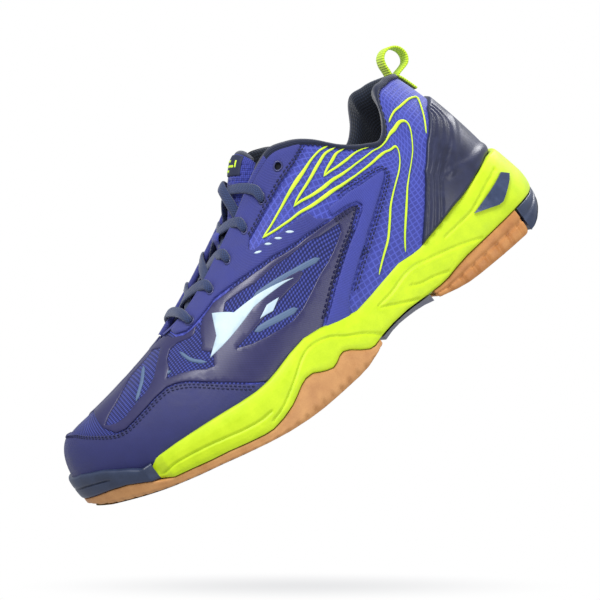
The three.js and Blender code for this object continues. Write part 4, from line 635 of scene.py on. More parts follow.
# ---------------- camera first ----------------
def make_camera():
    cam = bpy.data.cameras.new("cam")
    cam.lens, cam.sensor_width, cam.clip_start = 176.0, 36.0, .05
    o = bpy.data.objects.new("cam", cam)
    bpy.context.scene.collection.objects.link(o)
    a, e, roll = math.radians(15), math.radians(9), math.radians(36.449)
    back = Vector((math.sin(a) * math.cos(e), math.cos(a) * math.cos(e), math.sin(e)))
    r0 = Vector((-math.cos(a), math.sin(a), 0))
    u0 = back.cross(r0)
    r = r0 * math.cos(roll) - u0 * math.sin(roll)
    u = r0 * math.sin(roll) + u0 * math.cos(roll)
    tgt = Vector(D((136.0, 0.0, 41.97)).tolist())
    R = Matrix((r, u, back)).transposed().to_4x4()
    o.matrix_world = Matrix.Translation(tgt + back * 1.5) @ R
    bpy.context.scene.camera = o
    return o, r, u, back


cam, CR, CU, CB = make_camera()

# ---------------- lace (its ends stay in the shoe, so no free cord) ----------------
EYES = [[.662, .85], [.62, .857], [.582, .85], [.539, .846], [.489, .835], [.447, .875]]
TQ = np.r_[0, np.cumsum(np.linalg.norm(np.diff(A(TONGUE, float), axis=0), axis=1))]
TLEN = TQ[-1]


def tongue(q, th, dr):
    q, th, dr = np.broadcast_arrays(*[np.asarray(x, float) for x in (q, th, dr)])
    f = lambda x: crom(TQ, TONGUE, np.clip(x, 0, TLEN))
    c, a, b = f(q * TLEN), f(q * TLEN - .8), f(q * TLEN + .8)
    t = (b - a) / np.linalg.norm(b - a, axis=-1, keepdims=True)
    nx, nz = t[..., 1], -t[..., 0]
    h = 15.5 - dr
    k = 1 - np.cos(th)
    return np.stack([c[..., 0] - nx * dr - nx * h * k, h * np.sin(th), c[..., 1] - nz * dr - nz * h * k], -1)


def lace_half(sd0):
    HI, LO = 2.4, -2.9
    EP = lambda sd, n, o: surf(EYES[n][0] * sd, EYES[n][1], o)
    P, W, sd = [], [], sd0
    for n in range(4):
        hi = (sd > 0) == (n % 2 == 0)
        eA = surf(EYES[n][0] * sd, .975, LO - .1)
        B = EP(-sd, n + 1, HI)
        eB = surf(EYES[n + 1][0] * -sd, .975, HI + .4)
        x = (EP(sd, n, 0)[0] + EP(-sd, n + 1, 0)[0]) / 2
        qs = np.linspace(0, 1, 400)
        T = tongue(qs, 0, -(1.9 if hi else 4.3))
        c = T[np.argmin(abs(T[:, 0] - x))]
        P += [EP(sd, n, HI - .7), EP(sd, n, -.2), EP(sd, n, LO - .4), .5 * (EP(sd, n, LO - .4) + eA), c, .55 * B + .45 * eB + A([0, 0, .2])]
        W += [1.9, 1.5, 1.9, 2.6, 2.9, 2.8]
        sd = -sd
    P += [EP(sd, 4, HI - .3), EP(sd, 4, -.2), EP(sd, 4, LO), EP(sd, 4, LO - 3) * A([1, .9, 1])]
    W += [1.9, 1.5, 1.7, 2.2]
    return P, W


def catmull(P, n):
    P = A(P)
    k = np.r_[0, np.cumsum(np.sqrt(np.linalg.norm(np.diff(P, axis=0), axis=1)))]
    return crom(k, P, np.linspace(0, k[-1], n)), lambda W: np.interp(np.linspace(0, k[-1], n), k, W)


def flat_tube(name, P, W, mat, thick, n, sides=14, body="shoe", slot=None):
    C, f = catmull(P, n)
    W = f(W)
    t = np.gradient(C, axis=0); t /= np.linalg.norm(t, axis=1, keepdims=True)
    out = np.c_[np.full(n, .45) + 0 * C[:, 0], C[:, 1] / 13.0, np.full(n, .9)]
    for _ in range(3):
        out = smooth(out, 4)
    out -= (out * t).sum(1, keepdims=True) * t
    ln = np.linalg.norm(out, axis=1, keepdims=True)
    for i in range(1, n):
        if ln[i] < .35:
            out[i] = out[i - 1] - (out[i - 1] @ t[i]) * t[i]
    out /= np.linalg.norm(out, axis=1, keepdims=True)
    out = smooth(out, 3); out -= (out * t).sum(1, keepdims=True) * t
    out /= np.linalg.norm(out, axis=1, keepdims=True)
    b = np.cross(t, out)
    a = np.arange(sides) * 2 * math.pi / sides
    sq = lambda x: np.sign(x) * np.abs(x) ** .8
    T = thick * np.clip(2.9 / W, 1, 1.35)
    V = C[:, None] + b[:, None] * (W[:, None] * sq(np.cos(a)))[..., None] + out[:, None] * (T[:, None] * sq(np.sin(a)))[..., None]
    L = np.r_[0, np.cumsum(np.linalg.norm(np.diff(C, axis=0), axis=1))]
    uv = np.stack([np.repeat(L[:, None], sides, 1), np.repeat((a * 2.2)[None], n, 0)], -1).reshape(-1, 2)
    F = gridfaces(n, sides, False, True) + [tuple(range(sides))[::-1], tuple((n - 1) * sides + i for i in range(sides))]
    o = obj(name, V.reshape(-1, 3), F, mat, body=body, uv=uv, slot=slot)
    return o, L[-1]


PA, WA = lace_half(1)
PB, WB = lace_half(-1)
eA, eB = surf(EYES[0][0], .95, 2.9), surf(-EYES[0][0], .95, 2.9)
mid = A([(eA[0] + eB[0]) / 2, 0, max(eA[2], eB[2]) + 1.6])
LP = PA[::-1] + [eA, mid, eB] + PB
LW = WA[::-1] + [2.6, 2.9, 2.6] + WB
lace, LACE_LEN = flat_tube("lace_cord", LP, LW, M["lace"], .95, 620, slot="lace_cord")
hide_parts("lace")

# ---------------- sole ----------------
def grooves(X, Z, lines, w=.55, depth=.9):
    q = np.c_[np.ravel(X), np.ravel(Z)]
    out = np.zeros(len(q))
    for P, k in lines:
        d = dist(q, smooth(resample(P, 2.0), 2), closed=False)
        out = np.maximum(out, k * np.exp(-(d / w) ** 2))
    return out.reshape(np.shape(X)) * depth


G1 = [(254,22.1),(247.4,23.7),(238.4,23),(229.2,21.6),(219.8,19.5),(210.1,17.2),(202.7,16.1),(195.3,16.4)]
G2 = [(197.5,12.3),(190.1,14),(182.7,17.6),(175.2,21.6),(167.5,26.1),(162.3,28),(156.9,28.5),(151.4,27.3),(145.7,25.2),(139.8,20.5),(131.2,15.8),(124.2,10.1),(122.9,8.1)]
G3 = [(115.2,19.8),(104,14.2),(95.6,10.3)]
G4 = [(115.3,20.8),(104.6,21.9),(96.8,24.1),(91.5,25),(86.3,24.9),(80.9,23.5),(72.8,21.7),(62,18.9),(51,15),(49.3,14)]
G5 = [(95.2,18.5),(90.8,16),(82.8,14.7),(74.6,11.8)]
G6 = [(65.3,26.5),(45.6,28),(30.2,33.2),(18.2,36.3)]
HATCH = [[(195, 15.4), (210, 16.2), (230, 20.4), (247, 22.4), (250, 18.6), (234, 15.6), (214, 12)], [(66, 17), (80, 21), (92, 22.6), (103, 20), (112, 18.2), (103, 15.6), (96, 12), (84, 10.6), (70, 12.2)]]


def midsole():
    N = 760
    u = np.linspace(-1, 1, N, endpoint=False)
    X = uX(u)
    zg, zlm = lin(Z_GUM, X), lin(Z_LIME, X)
    zff = np.minimum(np.interp(X, [256, 262], [29.8, 25.6]), lin(Z_FEATHER, X) + 9 - np.clip((X - 256) / 6, 0, 1) * 9.4)
    zl = np.where(X > 256, zff, zlm)
    zg = np.where(X > 256, np.minimum(zg, zl - .6), zg)
    k = np.clip((X - 250) / 5.5, 0, 1) * 2.75
    h = np.clip(1 - X / 30, 0, None) * 1.4
    ts = np.linspace(.02, .6, 60)
    zt = surf(u[:, None], ts[None], .35)[..., 2]
    tt = A([np.interp(zl[i] - .3, zt[i], ts) for i in range(N)])
    rows = []
    sd, s = fold(u)
    cen = A([((uinset(A([x]), 0, 0)[0] + uinset(A([-x]), 0, 0)[0]) / 2) for x in np.abs(u)])
    cen[:, 0] = np.where(cen[:, 0] > 250, 250 + (cen[:, 0] - 250) * .2, np.where(cen[:, 0] < 34, 34 - (34 - cen[:, 0]) * .2, cen[:, 0]))
    cen[:, 2] = lin(Z_GUM, cen[:, 0]) - .2
    cen[:, 2] = np.where((cen[:, 0] > 88) & (cen[:, 0] < 124), cen[:, 2], np.maximum(cen[:, 2] - 3, lin(Z_BOT, cen[:, 0]) + 2.5))
    rows.append(cen)
    zu = np.where((X > 88) & (X < 124), zg, np.maximum(zg - 3, lin(Z_BOT, X) + 2.5))
    rows.append(uinset(u, 11, zu))
    rows.append(uinset(u, 5 + k, np.minimum(zg, zu + 1)))
    rows.append(uinset(u, 2.0 + k, zg))
    pv, pi = [0, .16, .35, .72, 1], A([.6, 0, .3, 1.3, 3.4])
    vs = np.r_[.0, .012, .03, np.linspace(.06, .95, 30), .972, .988, 1.0]
    lines = [(G1, 1), (G2, 1), (G3, 1), (G4, 1), (G5, .8), (G6, .9)]
    for v in vs:
        d = np.interp(v, pv, pi) if v < .7 else None
        ins = np.interp(v, [0, .08, .16, .25, .35, .55, .72, .86, 1], [.6, .22, 0, .08, .3, .76, 1.3, 2.2, 3.4]) + h * np.interp(v, [.35, .72, 1], [0, 1, 1]) + k
        if v <= .03:
            ins = ins + .9 * (1 - math.sqrt(1 - (1 - v / .03) ** 2)) if v < .03 else ins
        if v > .95:
            ins = ins + 1.1 * (1 - math.sqrt(max(0, 1 - ((v - .95) / .05) ** 2)))
        z = zg + (zl - zg) * v
        fade = np.clip(v / .05, 0, 1) * np.clip((1 - v) / .06, 0, 1) * np.clip((256 - X) / 3, 0, 1)
        dep = grooves(X, z, lines, .62, 1.0) * fade
        q = np.c_[X, z]
        for H in HATCH:
            m = inside(q, A(H, float))
            if m.any():
                dep += np.where(m, .22 * (1 - np.abs(np.sin((X + z * 1.1) * 1.45)) ** .6 * np.abs(np.sin((X - z * 1.1) * 1.45)) ** .6), 0)
        # lower facet sits a little proud of the upper one along the long creases
        step = .5 / (1 + np.exp((z - np.interp(X, [49, 62, 81, 91, 105, 115], [15, 18.9, 23.5, 25, 21.9, 20.8])) / .5)) * np.clip((X - 46) / 6, 0, 1) * np.clip((116 - X) / 3, 0, 1)
        rows.append(uinset(u, ins + dep - step * fade, z))
    rows.append(surf(u, tt + .004, .3) + 0)
    rows.append(surf(u, np.maximum(.02, tt - .03), .05))
    P = np.stack(rows, 1)
    P[:, -2, 2] = np.minimum(P[:, -2, 2], zl + .2)
    hide = X > 262
    P[hide, -2] = uinset(u[hide], 1.5 + k[hide] + 3, zl[hide]); P[hide, -1] = uinset(u[hide], 1.5 + k[hide] + 4, zl[hide] - 1)
    o = grid("midsole_foam", P, M["lime"], cu=True, slot="lime_foam", flip=True)
    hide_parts("midsole")
    return o


midsole()


def outline(kind):
    s_of = lambda X: float(np.interp(X, plan(1, np.linspace(0, 1, 4001))[:, 0], np.linspace(0, 1, 4001)))
    if kind == "fore":
        a = s_of(124.4); u = np.linspace(a, 2 - a, 420)
    elif kind == "heel":
        a, b = s_of(23.9), s_of(87.6)
        u = np.r_[np.linspace(a, b, 90), np.linspace(-b, -a, 90)]
    else:
        b = s_of(24.5); u = np.linspace(-b, b, 130)
    P = uinset(u, 0, 0)[:, :2]
    if kind == "heel":
        P = np.vstack([P[:90], P[90:]])
    P = resample(P, 1.0, True)
    return P


def slab(name, kind, mat, node, slot, lug=6.2, depth=1.1):
    P = outline(kind)
    P = smooth(P, 3, True)
    t = np.roll(P, -1, 0) - np.roll(P, 1, 0)
    n = np.c_[t[:, 1], -t[:, 0]]
    n = smooth(n / np.linalg.norm(n, axis=1, keepdims=True), 2, True)
    n /= np.linalg.norm(n, axis=1, keepdims=True)
    if (n * (P - P.mean(0))).sum() < 0:
        n = -n
    L = np.r_[0, np.cumsum(np.linalg.norm(np.diff(P, axis=0), axis=1))]
    zb, zg = lin(Z_BOT, P[:, 0]), lin(Z_GUM, P[:, 0]) - .45
    rows = []
    for f, d in [(1, 3.4), (1, 1.4), (.985, 1.05), (.93, .9), (.8, .88), (.66, .86), (.62, .9 if kind == 'fore' else 1.25), (.5, .9 if kind == 'fore' else 1.3), (.46, .92), (.38, .92), (.26, .95), (.16, 1.2), (.08, 1.6), (.03, 2.2), (0, 3.0), (0, 3.7)]:
        z = zb + (zg - zb) * f
        if kind == 'bump':
            d = min(d, 1.5)
        # side lugs: upright notches low on the wall
        cut_ = depth * np.clip(1.8 * np.abs(np.sin(L * math.pi / lug)) ** 14, 0, 1) * (1 if .02 < f < (.24 if kind == 'fore' else .6) else 0) * (kind != 'bump')
        q = P - n * (d + cut_)[:, None] if np.ndim(cut_) else P - n * d
        rows.append(np.c_[q, z])
    R = np.stack(rows, 1)
    o1 = grid(name + "_wall", R, mat, cu=True, slot=slot)
    q, dd, f = sheetmesh(R[:, -1, :2], [], .6, 1.25, 1.2)
    x, y = q[:, 0], q[:, 1]
    c = (y + 1.0 - 6 * np.sin(x / 40)) % 26.0
    w = np.abs(c - 13.0)
    g = ((x + w * .75) % 5.2) / 5.2
    g = np.clip((np.abs(g - .5) - .30) / .08, 0, 1)
    ring = np.clip(1.2 - np.abs(np.hypot(x - (205 if kind == "fore" else 50), y - (4 if kind == "fore" else 0)) - (19 if kind == "fore" else 13)), 0, 1)
    up = np.maximum(g, ring) * 1.3 * np.clip((dd - 2.2) / .8, 0, 1)
    up = np.minimum(up, np.maximum(0, lin(Z_GUM, x) - lin(Z_BOT, x) - 1.0)) * (kind != 'bump')
    V = np.c_[q, lin(Z_BOT, x) + up]
    o2 = obj(name + "_tread", V, f, mat, out=np.tile([0, 0, -1.0], (len(V), 1)), slot=slot)
    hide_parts(node)
    return o1


slab("forefoot_rubber", "fore", M["tan"], "outsole_forefoot", "gum_rubber")
slab("heel_rubber", "heel", M["gum"], "outsole_heel", "gum_rubber", lug=8.5)
slab("heel_bumper_rubber", "bump", M["slate"], "heel_bumper", "slate_rubber", lug=9, depth=.5)


def toe_bumper():
    s_of = lambda X: float(np.interp(X, plan(1, np.linspace(0, 1, 4001))[:, 0], np.linspace(0, 1, 4001)))
    a = s_of(256.3)
    u = np.linspace(a, 2 - a, 220)
    X = uX(u)
    lo, hi = np.interp(X, [256, 258, 262], [1, 1, 1]) * (lin(Z_GUM, X) + .05), lin(Z_BUMP, X) - .2
    lo = np.minimum(lo, hi - 1)
    end = np.clip(np.minimum(u - a, 2 - a - u) / .012, 0, 1)
    rows = []
    prof = [(0, 4.2), (0, 1.6), (.015, .75), (.05, .4), (.12, .16), (.25, .03), (.34, 0), (.42, 0), (.455, .05), (.47, .7), (.5, 1.0), (.53, .7), (.545, .05), (.62, 0), (.75, .1), (.86, .25), (.93, .5), (.975, .85), (.995, 1.4), (1, 2.2), (.97, 3.6)]
    slot_ = np.clip((X - 272.5) / 2.5, 0, 1)
    for f, d in prof:
        dd_ = d if not .44 < f < .56 else (0.02 + (d - .02) * slot_)
        rows.append(uinset(u, dd_ + (1 - end) * 2.6, lo + (hi - lo) * f))
    o = grid("toe_bumper_rubber", np.stack(rows, 1), M["slate"], slot="slate_rubber", flip=True)
    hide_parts("toe_bumper")


toe_bumper()

# ---------------- upper: base fabrics ----------------
TOPV = .965
for sd, sg in SIDES:
    q = panel("quarter_cloth_" + sg, side([(0, .02), (.694, .02), (.694, .985), (.49, .985), (.485, TOPV), (0, TOPV)], sd), M["rip"], 0, r=.5, edge=-.02, step=3.4, bstep=2.5, slot="ripstop")
    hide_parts("quarter_" + sg)
v = panel("vamp_cloth", [(.692, .02), (.692, .99), (.703, .998)] + [(x, 1.0) for x in np.linspace(.71, .995, 30)] + [(1, .999)] + [(1, .02)], M["mesh"], .02, r=.5, edge=-.02, step=2.2, bstep=2.0, slot="vamp_mesh")
v2 = panel("vamp_cloth_medial", [(2 - a, b) for a, b in [(.692, .02), (.692, .99), (.703, .998)] + [(x, 1.0) for x in np.linspace(.71, .995, 30)] + [(1, .999)] + [(1, .02)]], M["mesh"], .02, r=.5, edge=-.02, step=2.2, bstep=2.0, slot="vamp_mesh")
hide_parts("vamp_mesh")
for sd, sg in SIDES:
    X = [(2 - a if sd < 0 else a, b) for a, b in [(.47, .3), (.62, .25), (.693, .3), (.693, .84), (.6, .7), (.47, .5)]]
    panel("window_mesh_" + sg, side([(.37, .3), (.62, .22), (.6925, .26), (.6925, .82), (.6, .72), (.5, .56), (.38, .5)], sd), M["mesh"], .22, r=.6, edge=.02, step=2.6, slot="vamp_mesh")

# ---------------- film, eyestays, straps ----------------
thin = lambda C: [p for i, p in enumerate(C) if i % 1 == 0]
for sd, sg in SIDES:
    mm = lambda C: [((2 - s) if False else s * sd, t) for s, t in C]
    sin = [(s + .004, t - .006) for s, t in C_STRAPIN]
    tc = [(s, t + .006) for s, t in C_TOECAP[7:]]
    fq = [(.47, .02)] + list(reversed(sin))[:17] + [(.645, .78), (.678, .795), (.697, .86), (.700, .95), (.71, .975)]
    far = [(.73, .995), (.78, .998), (.83, .998), (.872, .998), (.868, .62), (.856, .5)] + tc + [(.60, .02)]
    wa = [p for p in C_WINA if p[1] < .985]
    f = panel("film_" + sg, mm(fq + far), M["film"], .62, r=.7, edge=.02, holes=[mm(wa), mm(C_WINC), mm(C_WIND)], step=2.8, slot="purple_film")
    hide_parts("film_overlay_" + sg)
    # pale strips showing in the windows
    for i, (pts, w) in enumerate([([(.655, .60), (.64, .70)], 2.6), ([(.52, .31), (.56, .36), (.60, .42)], 3.0), ([(.45, .40), (.52, .47), (.58, .55)], 2.6), ([(.735, .62), (.76, .70)], 3.0), ([(.80, .64), (.775, .76), (.76, .88)], 2.4), ([(.68, .52), (.70, .60), (.705, .70)], 2.6)]):
        ribbon("window_strip_%s_%d" % (sg, i), mm(pts), M["strips"], [w, w * 1.1, w], .2, .35)
    eyes = []
    for s, t in EYES:
        p = base(s * sd, t)
        ks = np.linalg.norm(base((s + .01) * sd, t) - p) / .01
        kt = np.linalg.norm(base(s * sd, t - .05) - p) / .05
        eyes.append(([(s * sd + math.cos(a) * 2.2 / ks, t + math.sin(a) * 2.2 / kt) for a in np.arange(14) * 2 * math.pi / 14], s, t, ks, kt))
    eye = mm([(.672, .985), (.69, .95), (.689, .87), (.674, .812), (.645, .796)] + [(s, t + .004) for s, t in C_STRAPIN[2:10]] + [(.43, .56), (.438, .60), (.447, .60), (.478, .62), (.511, .655), (.545, .712), (.549, .745), (.541, .775), (.519, .772), (.502, .776), (.481, .785), (.462, .795), (.442, .812), (.425, .85), (.40, .93), (.397, TOPV - .006), (.489, TOPV - .006), (.492, .985), (.56, .985)])
    e = panel("eyestay_cloth_" + sg, eye, M["blue"], 1.3, r=.8, edge=.05, holes=[x[0] for x in eyes], step=2.6, slot="blue_fabric")
    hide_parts("eyestay_" + sg)
    V, F = [], []
    for n_, (poly, s, t, ks, kt) in enumerate(eyes):
        u0 = s * sd
        nb = 20
        c8 = [(math.cos(a), math.sin(a)) for a in np.arange(8) * math.pi / 4]
        k0 = len(V)
        for a in np.arange(nb) * 2 * math.pi / nb:
            for c, z in c8:
                rr = 2.35 + .55 * c
                V.append(surf(u0 + math.cos(a) * rr / ks, t + math.sin(a) * rr / kt, 1.25 + .45 * z))
        F += gridfaces(nb, 8, True, True, k0)
        # flat disc closing each eyelet hole just above the surface: painted shade for the dim inside of the hole
        k1 = len(V)
        for a in np.arange(nb) * 2 * math.pi / nb:
            V.append(surf(u0 + math.cos(a) * 2.4 / ks, t + math.sin(a) * 2.4 / kt, .1))
        F.append(tuple(range(k1, k1 + nb)))
    rg = obj("eyelet_rings_" + sg, A(V), F, M["ring"])
    # the hole discs (more than six corners) take the painted shade material
    rg.data.materials.append(M["eyelet_hole_shade"])
    for p in rg.data.polygons:
        if len(p.vertices) > 6:
            p.material_index = 1
            p.use_smooth = False
    st = [(.404, .536), (.371, .56), (.353, .571), (.347, .553), (.352, .515), (.372, .438), (.40, .368), (.439, .264), (.465, .197), (.487, .146), (.52, .02), (.455, .02), (.436, .15), (.423, .194), (.397, .27), (.37, .349), (.344, .451), (.316, .571), (.301, .638), (.289, .692), (.283, .737), (.288, .742), (.307, .72), (.343, .66), (.378, .602), (.404, .582)]
    o = panel("strap_cloth_" + sg, mm(st), M["strap"], 1.3, r=.9, edge=.02, step=2.6, slot="blue_fabric")
    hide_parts("side_strap_" + sg)
    # lime edging lines with soft bulges
    for nm, C, w in (("a1", C_L1TOP, [1.0, 1.3, 2.2, 1.2, 1.0]), ("a2", C_L1BOT, [1.0, 1.2, 2.0, 1.1, 2.2, 1.2, 1.1, 1.6, 1.0]), ("b1", C_L2TOP, [1.0, 1.8, 1.0]), ("b2", C_L2BOT, [1.0, 1.9, 1.1, 1.2, 2.2, 1.1, 1.0, 1.7, 1.0]), ("c1", C_L3TOP, [.9, 1.6, .9]), ("c2", C_L3BOT, [.9, 1.5, .9]), ("d", C_L4, [.9, 1.6, 1.0, .9])):
        C = [(s, min(t, .955)) for s, t in C if t < .975 or nm in ("a1", "b1", "c1")]
        C = [p for i, p in enumerate(C) if p[1] > .15]
        ribbon("lime_line_%s_%s" % (nm, sg), mm(C), M["line"], w, .35, .5, slot="lime_webbing")
    # generic dart and small rhombus on the forefoot side
    panel("mark_dart_" + sg, mm([(.672, .525), (.648, .60), (.636, .735), (.612, .60), (.50, .425), (.585, .51)]), M["pale"], .95, r=.5, edge=.5, step=2.2, bstep=1.0)
    panel("mark_rhomb_" + sg, mm([(.560, .405), (.585, .44), (.565, .455), (.540, .425)]), M["pale"], .95, r=.4, edge=.5, step=1.6, bstep=.8)
    for i in range(4):
        s0 = .470 + i * .021
        ribbon("mark_tick_%d_%s" % (i, sg), mm([(s0, .578 + i * .026), (s0 + .012, .61 + i * .027)]), M["pale"], [1.1, 1.1], 1.3, .25, step=.8)
    so, si = [(s, t) for s, t in zip(*A(st[11:25]).T)], [(s, t) for s, t in zip(*A(st[0:11]).T)]
    L = [side(off2(si, d), sd) for d in (1.7, 3.2)] if True else []
    L += [side(off2(so, d), sd) for d in (1.7, 3.2)]
    L += [side(off2(C_EYESEAM[1:], d), sd) for d in (-1.6, -3.0)]
    L = [[p for p in l if .16 < p[1] < .955] for l in L]
    stitches("stitch_side_" + sg, [l for l in L if len(l) > 3], 1.32)

# ---------------- toe cap ----------------
lat = [(s, t - .006) for s, t in reversed(C_TOECAP[3:])]
poly = lat + [(.93, .74), (.965, .79), (1, .805), (1.035, .79), (1.07, .74)] + [(2 - s, t) for s, t in reversed(lat)] + [(1.42, .02), (.58, .02)]
tc_ = panel("toe_cap_cloth", [p for p in poly], M["cap"], 1.3, r=1.0, edge=.02, step=2.8, slot="blue_fabric")
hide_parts("toe_cap")
top = lat + [(.93, .74), (.965, .79), (1, .805), (1.035, .79), (1.07, .74)] + [(2 - s, t) for s, t in reversed(lat)]
stitches("stitch_toe", [[p for p in off2(top, d) if p[1] > .17] for d in (-1.4, -3.2)], 1.32)

# ---------------- heel counter ----------------
CN = [(s - .004, t - .012) for s, t in C_COUNTER[2:]]
ctop = [(.10, .655), (.05, .70), (0, .715), (-.05, .70), (-.10, .655)]
cp = [(.315, .02)] + list(reversed(CN)) + ctop + [(-s, t) for s, t in CN] + [(-.315, .02)]
front = A([(s, t) for s, t in CN] + [(.312, .02)]) * [US, VS]
CH = [A([(.186, .344), (.139, .276), (.046, .241)]) * [US, VS], A([(.068, .506), (.18, .336)]) * [US, VS]]


def cdisp(u, v, d):
    q = np.c_[np.abs(u) * US, v * VS]
    a = dist(q, resample(front, 2.0), closed=False)
    o = np.zeros(len(q))
    for k, w in ((3.4, .8), (8.2, .9), (13.0, .9)):
        o -= .8 * np.exp(-((a - k) / w) ** 2)
    for c in CH:
        o += .65 / (1 + np.exp((dist(q, resample(c, 2.0), closed=False) - 1.9) / .4))
    lob = (q[:, 1] < 62)
    return o * lob


hc = panel("counter_shell", cp, M["counter"], 2.0, r=1.3, edge=.05, step=1.25, disp=cdisp, tuck=True, slot="navy_plastic")
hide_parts("heel_counter")

# ---------------- collar ----------------
us = np.linspace(-.475, .475, 330)
au = np.abs(us)
kk = np.interp(au, [0, .36, .455, .5], [1, 1, .12, .1])
outer = [(.952, .35), (.960, 1.0), (.974, 1.25), (.990, 1.0), (1.002, .1), (1.008, -1.5)]
inner = [(1.008, -1.5), (1.006, -3.2), (.996, -5.0), (.974, -6.5), (.935, -7.3), (.86, -7.5), (.76, -7.3), (.64, -6.7), (.54, -5.4), (.44, -4.1), (.32, -3.5), (.18, -3.2), (.07, -3.0)]


def roll(rows, n):
    R = A(rows, float)
    k = np.r_[0, np.cumsum(np.linalg.norm(np.diff(R * [VS, 1], axis=0), axis=1))]
    return crom(k, R, np.linspace(0, k[-1], n))


Ro, Ri = roll(outer, 14), roll(inner, 46)
Po = np.stack([surf(us, t, np.where(o < 0, o * kk, o)) for t, o in Ro], 1)
cb = grid("collar_edge", Po, M["bind"], slot="lining", flip=True)
quilt = lambda t: .35 * np.sin(us * 60) ** 2 * np.clip((t - .5) / .2, 0, 1) * np.clip((.97 - t) / .1, 0, 1)
Pi = np.stack([surf(us, t, np.where(o < -1.4, -1.4 + (o + 1.4) * kk, o) - quilt(t) * kk) for t, o in Ri], 1)
ci = grid("collar_pad", Pi, M["lining"], slot="lining", flip=True)
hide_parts("collar_binding")
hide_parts("collar_foam", "collar_lining")
stitches("stitch_collar", [[(u, .948) for u in np.linspace(-.39, .39, 60)]], .35, pitch=3.2)
# edge along the lace throat
for sd, sg in SIDES:
    ue = np.linspace(.455, .702, 110) * sd
    R = roll([(.955, 1.25), (.975, 1.6), (.992, 1.2), (.998, .2), (.994, -1.0), (.97, -1.6), (.90, -1.7), (.72, -1.8), (.5, -1.8)], 26)
    Pe = np.stack([surf(ue, t, o) for t, o in R], 1)
    grid("throat_edge_" + sg, Pe, M["blue"], slot="blue_fabric", flip=(sd > 0))

# ---------------- tongue ----------------
qs = np.linspace(0, 1, 250)
nt = 72
thm = np.interp(qs, [0, .3, .6, .85, .96, 1], [.75, .95, 1.25, 1.3, 1.1, .85])
w = np.linspace(-1, 1, nt)
Q, W = np.meshgrid(qs, w, indexing="ij")
TH = W * thm[:, None]
el = np.clip(np.minimum((1 - np.abs(W)) * thm[:, None] * 15.5, (1 - Q) * TLEN) / 3.0, 0, 1)
puff = np.sqrt(np.maximum(0, 1 - (1 - el) ** 2))
hx = Q * TLEN / 2.9
hy = TH * 15.5 / 1.68
row = np.round(hx)
dx = (hx - row) * 2.9
dy = (hy - 2 * np.round((hy - (row % 2)) / 2) - (row % 2)) * 1.68
hole = np.clip(1 - np.hypot(dx, dy) / 1.0, 0, 1) ** .5 * np.clip(((1 - np.abs(W)) * 20 - 2), 0, 1) * np.clip(((1 - Q) * TLEN - 8) / 3, 0, 1)
lump = .35 * np.sin(Q * 26) * (1 - np.abs(W))
front_ = tongue(Q, TH, 2.2 - puff * 2.4 + hole * .75 - lump * 1)
back_ = tongue(Q[:, ::-1], TH[:, ::-1], 2.4 + puff[:, ::-1] * 2.3)
PT = np.concatenate([front_, back_], 1)
LT = np.concatenate([np.stack([Q * TLEN, TH * 15.5], -1), np.stack([Q * TLEN, 60 - TH * 15.5], -1)], 1).reshape(-1, 2)
n_, m_ = PT.shape[:2]
F = gridfaces(n_, m_, False, True) + [tuple(range(m_))[::-1], tuple((n_ - 1) * m_ + i for i in range(m_))]
tg = obj("tongue_pad", PT.reshape(-1, 3), F, M["tongue"], body=None, uv=LT)
tg.data.materials.append(M["lining"]); tg.data.materials.append(M["bind"])
for p in tg.data.polygons:
    i = p.vertices[0]
    qi, wi = i // m_, i % m_
    if qi > n_ * .955:
        p.material_index = 2
    elif wi >= nt:
        p.material_index = 1
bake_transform(tg)
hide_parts(*["tongue_%s_%s" % (a, b) for a in ("lower", "upper") for b in ("shell", "foam", "lining")])


def on_tongue(name, q0, q1, t0, t1, o, thick, mat, r=.15, body="tongue_top", slot=None, n=26, m=26):
    q, t = np.meshgrid(np.linspace(q0, q1, n), np.linspace(t0, t1, m), indexing="ij")
    e = np.minimum(np.minimum(q - q0, q1 - q) * TLEN, np.minimum(t - t0, t1 - t) * 15.5)
    h = np.sqrt(np.maximum(0, 1 - (1 - np.clip(e / .6, 0, 1)) ** 2))
    return grid(name, tongue(q, t, -(o + thick * h)), mat, body=body, slot=slot, uv=np.stack([q * TLEN, t * 15.5], -1).reshape(-1, 2), flip=True)


lb = on_tongue("label_patch", .85, .955, -.62, .62, .25, .45, M["label"], slot="label")
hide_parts("tongue_label")
for i, (a, b, c, d) in enumerate([(.866, .879, -.40, .05), (.889, .902, -.22, .30), (.914, .927, -.40, .05), (.889, .927, .34, .42)]):
    on_tongue("label_mark_%d" % i, a, b, c, d, .62, .28, M["line"], n=8, m=12)
# lace keeper: a flat webbing loop on the tongue's middle
kq = np.linspace(.50, .585, 30)
kp = [(.495, .25), (.51, 1.6), (.53, 4.9), (.55, 5.6), (.57, 4.9), (.59, 1.6), (.605, .25)]
KP = roll(kp, 34)
kt = np.linspace(-.26, .26, 12)
K1 = np.stack([tongue(KP[:, 0], t, -KP[:, 1] - .5 * math.sqrt(max(0, 1 - (t / .26) ** 2)) ** .5) for t in kt], 1)
K2 = np.stack([tongue(KP[:, 0], t, -KP[:, 1] + .55) for t in kt[::-1]], 1)
grid("lace_keeper", np.concatenate([K1, K2], 1), M["strap"], cv=True, slot="blue_fabric", flip=True)

